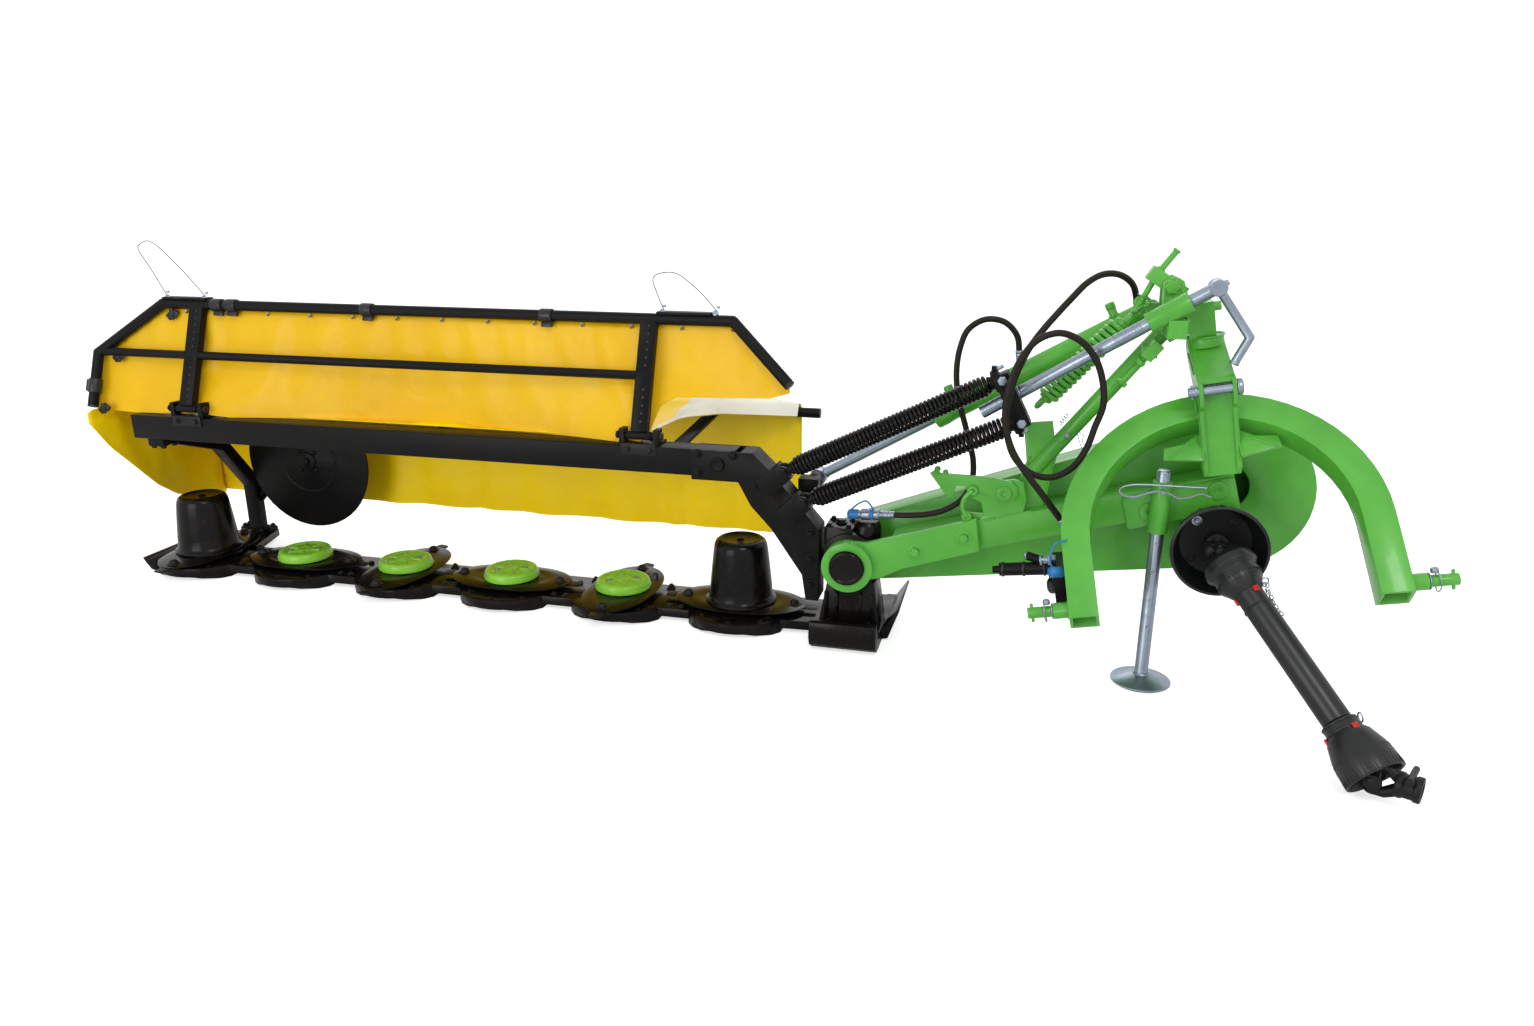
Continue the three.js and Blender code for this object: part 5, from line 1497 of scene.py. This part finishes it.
        # the yoke's threaded pins with their nuts
        mesh = bmesh.new()
        for _, (x, z) in BALANCE_ENDS:
            for s in (-1, 1):
                turn(mesh, [(0, 0), (0.013, 0), (0.013, 0.008), (0.0115, 0.011), (0, 0.011)],
                     at(x, -190 + s * 36, z), Vector((0, s, 0)), 6)
        for x, z in ((767, 893), (838, 735)):
            turn(mesh, [(0, 0), (0.0105, 0), (0.0105, 0.007), (0.009, 0.0095), (0, 0.0095)],
                 at(x, -196, z), Vector((-0.45, 0, 0.89)) if z > 800 else Vector((0.45, 0, -0.89)),
                 6)
        piece("yoke_nuts", mesh, "zinc", body, 0.0005)
        mesh = bmesh.new()
        for ends in BALANCE_ENDS:
            bracket, start_at = (at(x, BALANCE_Y, z) for x, z in ends)
            way = (bracket - start_at).normalized()
            turn(mesh, [(0, 0.004), (0.030, 0.004), (0.0312, 0.006), (0.0312, 0.022),
                        (0.0290, 0.026), (0, 0.026)], start_at, way, 28)
            for s in (-1, 1):
                side, other = square_to(way)
                block(mesh, start_at + way * 0.012 + other * 0.030 * s, (0.014, 0.020, 0.022))
        piece("yoke_plugs", mesh, "satin", body, 0.0012)

        # quick coupling and its dust cap at the lower hose's end
        line = smooth_route([at(*p) for p in HOSE_A])
        end, way = line[-1], (line[-1] - line[-2]).normalized()
        mesh = bmesh.new()
        turn(mesh, [(0, 0.030), (0.0150, 0.030), (0.0160, 0.033), (0.0160, 0.046),
                    (0.0130, 0.048), (0.0130, 0.056), (0.0165, 0.058), (0.0170, 0.062),
                    (0.0170, 0.082), (0.0155, 0.085), (0.0120, 0.086), (0.0120, 0.096),
                    (0, 0.096)], end, way, 28)
        piece("coupling", mesh, "zinc", body, 0.0006)
        mesh = bmesh.new()
        tip = end + way * 0.094
        turn(mesh, [(0, 0), (0.0135, 0), (0.0150, 0.003), (0.0150, 0.026), (0.0130, 0.031),
                    (0.007, 0.034), (0, 0.034)], tip, way, 28)
        strap = smooth_route([tip + way * 0.028 + UP * 0.010, tip + UP * 0.034 - way * 0.002,
                              end + way * 0.072 + UP * 0.040, end + way * 0.050 + UP * 0.017], 8)
        sweep(mesh, strap, 0.0028, 10)
        turn(mesh, [(0.0131, -0.004), (0.0160, -0.004), (0.0165, 0), (0.0160, 0.004),
                    (0.0131, 0.004)], end + way * 0.052, way, 28)
        piece("dust_cap", mesh, "blue", body, 0.0008)
        return {"FINISHED"}


class MakeCylinder(bpy.types.Operator):
    """The lift cylinder's gland, ports and pins"""

    bl_idname = "mower.cylinder"
    bl_label = "Lift cylinder details"

    def execute(self, context):
        low, high = at(235, 60, 499), at(1146, 60, 1028)
        way = (high - low).normalized()
        long = (high - low).length
        mesh = bmesh.new()
        turn(mesh, [(0.016, 0.396), (0.030, 0.398), (0.0345, 0.402), (0.0345, 0.434),
                    (0.0330, 0.438), (0.0325, 0.452), (0.0322, 0.452)], low, way, 40)
        turn(mesh, [(0.0322, long - 0.032), (0.0345, long - 0.030), (0.0345, long - 0.018),
                    (0.030, long - 0.014), (0, long - 0.014)], low, way, 40)
        for u in (0.470, long - 0.090):
            foot = low + way * u
            up = (Vector((-30, 0, 60))).normalized()
            turn(mesh, [(0.0122, 0.050), (0.0150, 0.052), (0.0150, 0.0665), (0.0135, 0.0685),
                        (0.0085, 0.0685), (0.0080, 0.064), (0, 0.064)], foot, up, 6)
            loop_bead(mesh, foot + up * 0.0315, up, 0.0130, 0.0025, 28)
        piece("cylinder_gland", mesh, "green", "cylinder_barrel", 0.0006)
        mesh = bmesh.new()
        for s in (-1, 1):
            turn(mesh, [(0.0128, 0), (0.022, 0), (0.0222, 0.0016), (0.0128, 0.0016)],
                 Vector((low.x, at(0, 60 + 22 * s, 0).y, low.z)), Vector((0, s, 0)), 28)
        loop_bead(mesh, low + way * 0.027, way, 0.0155, 0.0025, 28)
        piece("rod_eye_washers", mesh, "zinc", "cylinder_rod")
        mesh = bmesh.new()
        turn(mesh, [(0, 0), (0.0185, 0), (0.0190, 0.002), (0.0175, 0.005), (0, 0.005)],
             at(1146, 92, 1028), REARWARD, 32)
        r_clip(mesh, at(1128, 89, 1040), Vector((1, 0, -0.35)), Vector((-0.3, 0, -1)), 0.060, 0.003)
        piece("cylinder_pin_clip", mesh, "zinc", "carrier")
        return {"FINISHED"}


class MakeHeadstock(bpy.types.Operator):
    """Hitch pins, linch rings, welds, the breakaway device and the stand's cotter"""

    bl_idname = "mower.headstock"
    bl_label = "Headstock details"

    def execute(self, context):
        body = "headstock"
        side_way = HEAD_X
        mesh = bmesh.new()
        for s in (-1, 1):
            end = head(s * 437, 0, 0)
            turn(mesh, [(0.0138, -0.003), (0.0135, 0), (0.0110, 0.0022), (0, 0.0022)],
                 end, side_way * s, 24)
            turn(mesh, [(0.0142, 0), (0.0200, 0), (0.0205, 0.0015), (0.0195, 0.003),
                        (0.0142, 0.003)], head(s * 413, 0, 0), side_way * s, 28)
            # linch pin: its head above and the ring that snaps round the pin's end
            pin = head(s * 426, 0, 24)
            turn(mesh, [(0, -0.004), (0.0085, -0.004), (0.0092, 0), (0.0085, 0.006),
                        (0.004, 0.009), (0, 0.009)], pin, HEAD_Z, 20)
            centre = head(s * 430, 0, 0)
            rim = [centre + (HEAD_Z * math.cos(t) * 0.0255 + REARWARD * math.sin(t) * 0.0205)
                   + side_way * s * 0.004 * math.sin(t) ** 2
                   for t in (math.radians(a) for a in range(0, 361, 12))]
            sweep(mesh, rim, 0.0016, 8, caps=False)
        piece("linch_pins", mesh, "zinc", body, 0.0004)

        # arch: seams, and the pads round the hitch pins' bosses
        mesh = bmesh.new()
        lean = ARCH_LEAN

        def on_arch(x, s, n):
            return head(x, s * math.cos(lean) - n * math.sin(lean),
                        s * math.sin(lean) + n * math.cos(lean))

        for s in (-1, 1):
            loop_bead(mesh, head(s * 375.5, 0, 0), side_way, 0.0205, 0.0032, 36)
        for x in (-9.6, 79.6):
            bead(mesh, on_arch(x + (-1 if x < 0 else 1), 472, 40.5),
                 on_arch(x + (-1 if x < 0 else 1), 538, 40.5), 0.004)
        for s in (-1, 1):
            x = 35 + s * 45
            bead(mesh, on_arch(x, 368, 8), on_arch(x, 440, 8), 0.0035)
            bead(mesh, on_arch(35 + s * 128, 382, 8.5), on_arch(35 + s * 70, 418, 8.5), 0.0035)
        for x in (-9.2, 79.2):
            bead(mesh, head(x, 266, 240), head(x, 266, 396), 0.0035)
            bead(mesh, head(x, 300, 487), head(x, 388, 530), 0.0035)
        bead(mesh, head(2, 336, 240), head(68, 336, 240), 0.0035)
        loop_bead(mesh, head(35, 401, 566), HEAD_Z, 0.0465, 0.0030, 60)
        piece("headstock_welds", mesh, "green", body)

        # top-link pin: collar, groove and its cotter
        mesh = bmesh.new()
        turn(mesh, [(0.0123, 0), (0.0205, 0), (0.0210, 0.003), (0.0205, 0.010), (0.0165, 0.0135),
                    (0, 0.0135)], head(81, 246, 453), side_way, 32)
        turn(mesh, [(0.0124, 0.0), (0.0150, 0.0), (0.0150, 0.004), (0.0124, 0.004)],
             head(-14, 246, 453), -side_way, 28)
        turn(mesh, [(0.0120, 0), (0.0110, 0.002), (0, 0.0022)], head(-31, 246, 453), -side_way, 24)
        turn(mesh, [(0, -0.018), (0.0030, -0.018), (0.0030, 0.018), (0, 0.018)],
             head(-24, 246, 453), HEAD_Z, 12)
        piece("top_link_collars", mesh, "zinc", body, 0.0005)

        # kingpin: its washer and nut on the post's top and the lower lug's cap
        mesh = bmesh.new()
        turn(mesh, [(0, 0), (0.034, 0), (0.034, 0.006), (0.030, 0.009), (0.018, 0.009),
                    (0.018, 0.018), (0.015, 0.021), (0, 0.021)], head(35, 401, 226), -HEAD_Z, 32)
        for c in (300, 340):
            turn(mesh, [(0, 0), (0.0095, 0), (0.0095, 0.0012), (0.004, 0.0012), (0.0038, 0.0004),
                        (0, 0.0004)], head(79, 296, c), side_way, 24)
        piece("kingpin_cap", mesh, "green", body, 0.0006)

        # stand: cotter through the sleeve, the leg's holes and the foot's weld
        mesh = bmesh.new()
        stand = at(*STAND, 600)
        r_clip(mesh, stand + Vector((0.105, -0.030, 0.006)), Vector((-1, -0.02, 0.0)),
               Vector((0, -0.2, -1)), 0.215, 0.0055, 0.55)
        turn(mesh, [(0, -0.034), (0.0055, -0.034), (0.0055, 0.034), (0, 0.034)],
             stand - UP * 0.012, REARWARD, 16)
        piece("stand_cotter", mesh, "zinc", "carrier")
        mesh = bmesh.new()
        top = at(*STAND, 632)
        turn(mesh, [(0.0178, -0.001), (0.0178, 0.004), (0.0150, 0.008), (0.006, 0.0095),
                    (0, 0.0095)], top, UP, 28)
        loop_bead(mesh, at(*STAND, 57), UP, 0.0200, 0.0035, 40)
        for z in (440, 360, 280, 200):
            turn(mesh, [(0, 0), (0.0052, 0), (0.0050, 0.0006), (0.0036, 0.0003), (0, 0.0003)],
                 at(1202, -184, z), TOWARDS_TRACTOR, 16)
        piece("stand_leg_details", mesh, "zinc", "stand")

        # breakaway device: knob, spring housing, hose union and its dust cap
        mesh = bmesh.new()
        back = head(ARCH_SIDE - 23.6, 223, 33)
        out_way = (head(ARCH_SIDE - 172.8, 231, 41.4) - back).normalized()
        for u in (0.030, 0.085, 0.140):
            turn(mesh, [(0.0178, -0.004), (0.0200, -0.003), (0.0204, 0), (0.0200, 0.003),
                        (0.0178, 0.004)], back + out_way * u, out_way, 28)
        turn(mesh, [(0, 0.166), (0.0130, 0.166), (0.0140, 0.170), (0.0140, 0.178),
                    (0.0110, 0.182), (0, 0.183)], back + out_way, out_way, 8)
        place = head(ARCH_SIDE - 20, 219, -14)
        turn(mesh, [(0, 0), (0.0115, 0), (0.0200, 0.010), (0.0225, 0.019), (0.0200, 0.028),
                    (0.0120, 0.033), (0, 0.034)], place, -side_way, 10)
        for c in (56, 20):
            bolt(mesh, head(ARCH_SIDE - 30, 110, c), -side_way, 0.016, 0.009)
        piece("breakaway_fittings", mesh, "plastic", body, 0.0008)
        mesh = bmesh.new()
        turn(mesh, [(0, 0), (0.0100, 0), (0.0105, 0.010), (0.0145, 0.012), (0.0145, 0.020),
                    (0.009, 0.022), (0.009, 0.034), (0.0125, 0.035), (0.0125, 0.041), (0, 0.041)],
             head(ARCH_SIDE - 20, 150, 84), -side_way, 20)
        turn(mesh, [(0, 0), (0.0125, 0), (0.0130, 0.004), (0.0085, 0.006), (0, 0.006)],
             head(ARCH_SIDE - 96.9, 225, 75.7), -side_way, 20)
        piece("breakaway_union", mesh, "zinc", body, 0.0005)
        mesh = bmesh.new()
        cap = head(ARCH_SIDE - 2, 92, 30) + UP * 0.055
        turn(mesh, [(0, 0), (0.0125, 0), (0.0140, 0.004), (0.0140, 0.030), (0.0110, 0.036),
                    (0, 0.037)], cap + Vector((-0.012, -0.022, -0.012)), Vector((-0.75, -0.4, 0.1)),
             24)
        strap = smooth_route([cap + Vector((-0.034, -0.034, -0.006)),
                              cap + Vector((-0.046, -0.040, 0.030)),
                              cap + Vector((-0.034, -0.030, 0.066)),
                              cap + Vector((-0.008, -0.010, 0.070))], 8)
        sweep(mesh, strap, 0.0022, 8)
        piece("breakaway_cap", mesh, "blue", body, 0.0008)
        return {"FINISHED"}


class MakeDriveline(bpy.types.Operator):
    """The drive shaft's joints, guard ribs, buttons and chain, and the bowl's bolts"""

    bl_idname = "mower.driveline"
    bl_label = "Driveline details"

    def execute(self, context):
        bowl = at(1352, -232, 447)
        way = (at(1656, -662, 92) - bowl).normalized()
        side, other = square_to(way)

        def on_shaft(u, v=0.0, turn_by=0.0):
            return bowl + way * u / 1000 + (side * math.cos(turn_by)
                                            + other * math.sin(turn_by)) * v / 1000

        # grip ribs round both cones
        for name, body, u0, u1, r0, r1, count in (
                ("near_cone_ribs", "driveline_outer", 88, 103, 58.2, 54.4, 40),
                ("end_cone_ribs", "driveline_inner", 586, 640, 65.2, 68.4, 44)):
            mesh = bmesh.new()
            for i in range(count):
                t = 2 * math.pi * i / count
                sweep(mesh, [on_shaft(u0, r0 - 1.2, t), on_shaft(u0 + 4, r0, t),
                             on_shaft(u1 - 3, r1, t), on_shaft(u1, r1 - 1.0, t)], 0.0013, 6)
            rim_u = u1 + 1
            rim = [on_shaft(rim_u, r1 - 1.5, 2 * math.pi * i / 48) for i in range(49)]
            sweep(mesh, rim, 0.0024, 8, caps=False)
            piece(name, mesh, "plastic", body)

        # collars, lock rings and the red release buttons
        mesh = bmesh.new()
        for u, r in ((130, 0.0372), (176, 0.0360)):
            turn(mesh, [(0.0345, -0.003), (r + 0.0005, -0.002), (r + 0.001, 0.002),
                        (0.0345, 0.003)], on_shaft(u), way, 40)
        piece("near_collars", mesh, "plastic", "driveline_outer", 0.0004)
        mesh = bmesh.new()
        for u in (507, 526):
            turn(mesh, [(0.0405, -0.003), (0.0425, -0.002), (0.0425, 0.002), (0.0405, 0.003)],
                 on_shaft(u), way, 40)
        piece("end_collars", mesh, "plastic", "driveline_inner", 0.0004)
        for name, body, u, v in (("near_buttons", "driveline_outer", 140, 36.5),
                                 ("end_buttons", "driveline_inner", 532, 46.0)):
            mesh = bmesh.new()
            for a in (40, 160, 280):
                t = math.radians(a)
                out = (side * math.cos(t) + other * math.sin(t))
                across = way.cross(out).normalized()
                turned = Matrix((way, across, out)).transposed().to_quaternion()
                block(mesh, on_shaft(u, v, t), (0.015, 0.015, 0.006), turned)
            piece(name, mesh, "red", body, 0.0012)

        # joint under the bowl: two yokes about a cross with its four caps
        mesh = bmesh.new()
        for s in (-1, 1):
            ear = bowl + Vector((s * 0.026, 0, 0))
            turn(mesh, [(0, -0.007), (0.0165, -0.007), (0.0172, 0), (0.0165, 0.007), (0, 0.007)],
                 ear, RIGHT, 28)
            turn(mesh, [(0, 0), (0.0125, 0), (0.0125, 0.003), (0.0105, 0.004), (0, 0.004)],
                 ear + Vector((s * 0.007, 0, 0)), Vector((s, 0, 0)), 24)
            sweep(mesh, [ear, bowl + Vector((s * 0.027, 0.022, 0)),
                         bowl + Vector((s * 0.019, 0.044, 0))], [0.0125, 0.0120, 0.0140], 16)
        for a in range(4):
            t = math.radians(90 * a)
            arm = Vector((math.cos(t), 0, math.sin(t)))
            turn(mesh, [(0, 0), (0.0085, 0), (0.0085, 0.022), (0, 0.022)], bowl, arm, 20)
        for a in range(0, 360, 60):
            t = math.radians(a)
            place = Vector((bowl.x + math.cos(t) * 0.021, at(0, -176, 0).y,
                            bowl.z + math.sin(t) * 0.021))
            turn(mesh, [(0, -0.003), (0.0060, -0.003), (0.0060, 0.004), (0.005, 0.0055),
                        (0, 0.0055)], place, TOWARDS_TRACTOR, 6)
        piece("input_joint", mesh, "iron", "carrier", 0.0008)

        # bowl: rolled lip, ribs, the two band nuts at its neck
        mesh = bmesh.new()
        sweep(mesh, hoop(bowl + REARWARD * 0.004, 0.1185, 64), 0.0040, 8, caps=False)
        for a in range(0, 360, 30):
            t = math.radians(a)
            out = Vector((math.cos(t), 0, math.sin(t)))
            sweep(mesh, [bowl + out * 0.1190 + Vector((0, 0.012, 0)),
                         bowl + out * 0.1090 + Vector((0, 0.060, 0)),
                         bowl + out * 0.0980 + Vector((0, 0.090, 0))], 0.0022, 6)
        for y in (0.100, 0.128):
            sweep(mesh, hoop(bowl + REARWARD * y, 0.0602, 48), 0.0030, 6, caps=False)
        piece("bowl_ribs", mesh, "plastic", "carrier")
        mesh = bmesh.new()
        bolt(mesh, at(1300, -148, 503), TOWARDS_TRACTOR, 0.016, 0.009, tip=0.004)
        piece("bowl_bolt_bright", mesh, "zinc", "carrier", 0.0004)
        mesh = bmesh.new()
        for x, z in ((1393, 506), (1296, 398), (1406, 402)):
            bolt(mesh, at(x, -148, z), TOWARDS_TRACTOR, 0.014, 0.008, tip=0.004)
        piece("bowl_bolts", mesh, "iron", "carrier", 0.0004)

        # anti-spin chain, from the cone's eye down along the tube
        mesh = bmesh.new()
        start_at = max((on_shaft(126, 42, math.radians(a)) for a in range(0, 360, 10)),
                       key=lambda p: p.x * 0.9 + p.z * 0.4)
        for shift in (0, 1):
            a = start_at + Vector((0.002 + 0.004 * shift, -0.004 * shift, 0.006))
            b = a + Vector((0.036 + 0.006 * shift, -0.030, -0.085 + 0.012 * shift))
            chain(mesh, a, b, 0.010)
        piece("guard_chain", mesh, "zinc", "driveline_outer")
        mesh = bmesh.new()
        sweep(mesh, hoop(start_at + Vector((0.004, 0, 0.008)), 0.008, 20), 0.0022, 6, caps=False)
        end_eye = max((on_shaft(514, 43, math.radians(a)) for a in range(0, 360, 10)),
                      key=lambda p: p.x * 0.9 + p.z * 0.5)
        eye = [end_eye + Vector((0.002, 0, 0.004)) + (way * math.cos(c) + UP * math.sin(c)) * 0.009
               for c in (2 * math.pi * i / 20 for i in range(21))]
        sweep(mesh, eye, 0.0020, 6, caps=False)
        piece("chain_eyes", mesh, "zinc", "driveline_inner")

        # end joint: cross with caps, two forged yokes, splined hub and its locking pin
        mesh = bmesh.new()
        centre = on_shaft(640)
        out = Vector((84, -42, 0)).normalized()
        across = out.cross(UP).normalized()
        for s in (-1, 1):
            for axis, middle, foot, thick in (
                    (UP, out * 0.020 + UP * s * 0.001, out * 0.044 + UP * s * 0.016, 0.0150),
                    (across, -way * 0.020, across * s * 0.012 - way * 0.046, 0.0130)):
                ear = centre + axis * s * 0.030
                turn(mesh, [(0, -0.006), (0.0185, -0.006), (0.0195, 0), (0.0185, 0.006),
                            (0, 0.006)], ear, axis, 28)
                turn(mesh, [(0, 0), (0.0130, 0), (0.0130, 0.0025), (0.0110, 0.0035),
                            (0, 0.0035)], ear + axis * s * 0.006, axis * s, 24)
                sweep(mesh, [ear, ear + middle, centre + foot], [0.0135, 0.0125, thick], 14)
        for arm in (UP, -UP, across, -across):
            turn(mesh, [(0, 0), (0.0095, 0), (0.0095, 0.026), (0, 0.026)], centre, arm, 20)
        hub = centre + out * 0.040
        turn(mesh, [(0.018, 0.0), (0.0285, 0.0), (0.0300, 0.004), (0.0300, 0.014), (0.0270, 0.018),
                    (0.0270, 0.036), (0.0300, 0.040), (0.0300, 0.050), (0.0285, 0.0525),
                    (0.0190, 0.0525), (0.0185, 0.050), (0.0185, 0.010)], hub, out, 40)
        for a in range(0, 360, 60):
            t = math.radians(a)
            tooth = (across * math.cos(t) + UP * math.sin(t)) * 0.0178
            sweep(mesh, [hub + out * 0.012 + tooth, hub + out * 0.0515 + tooth], 0.0032, 6)
        pin = hub + out * 0.028 + UP * 0.024
        turn(mesh, [(0, -0.052), (0.0065, -0.052), (0.0072, -0.048), (0.0072, 0.020),
                    (0.0105, 0.022), (0.0105, 0.030), (0.0080, 0.034), (0, 0.034)],
             pin, across, 20)
        made = piece("end_joint", mesh, "iron", "driveline_inner", 0.0010)
        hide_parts("driveline_end_yoke")
        return {"FINISHED"}


GROUPS = (MowerColours, MowerSizes)
OPERATORS = (MakeHoses, MakeSolids, MakeSprings, MakeCurtains, MakeDiscs, MakeCutterbar,
             MakeGuard, MakeCarrier, MakeCylinder, MakeHeadstock, MakeDriveline, MakeStage)


class MowerPanel(bpy.types.Panel):
    """The mower's operators, in the order they run"""

    bl_idname = "VIEW3D_PT_mower"
    bl_label = "Disc mower"
    bl_space_type = "VIEW_3D"
    bl_region_type = "UI"
    bl_category = "Mower"

    def draw(self, context):
        for kind in OPERATORS:
            self.layout.operator(kind.bl_idname)
        for group in (context.scene.mower_colours, context.scene.mower_sizes):
            for key in group.__annotations__:
                self.layout.prop(group, key)


def register():
    for kind in (*GROUPS, *OPERATORS, MowerPanel):
        bpy.utils.register_class(kind)
    bpy.types.Scene.mower_colours = bpy.props.PointerProperty(type=MowerColours)
    bpy.types.Scene.mower_sizes = bpy.props.PointerProperty(type=MowerSizes)


def unregister():
    del bpy.types.Scene.mower_colours
    del bpy.types.Scene.mower_sizes
    for kind in reversed((*GROUPS, *OPERATORS, MowerPanel)):
        bpy.utils.unregister_class(kind)


def main():
    register()
    make_materials(colours())
    for kind in OPERATORS:
        group, name = kind.bl_idname.split(".")
        getattr(getattr(bpy.ops, group), name)()


if __name__ == "__main__":
    main()
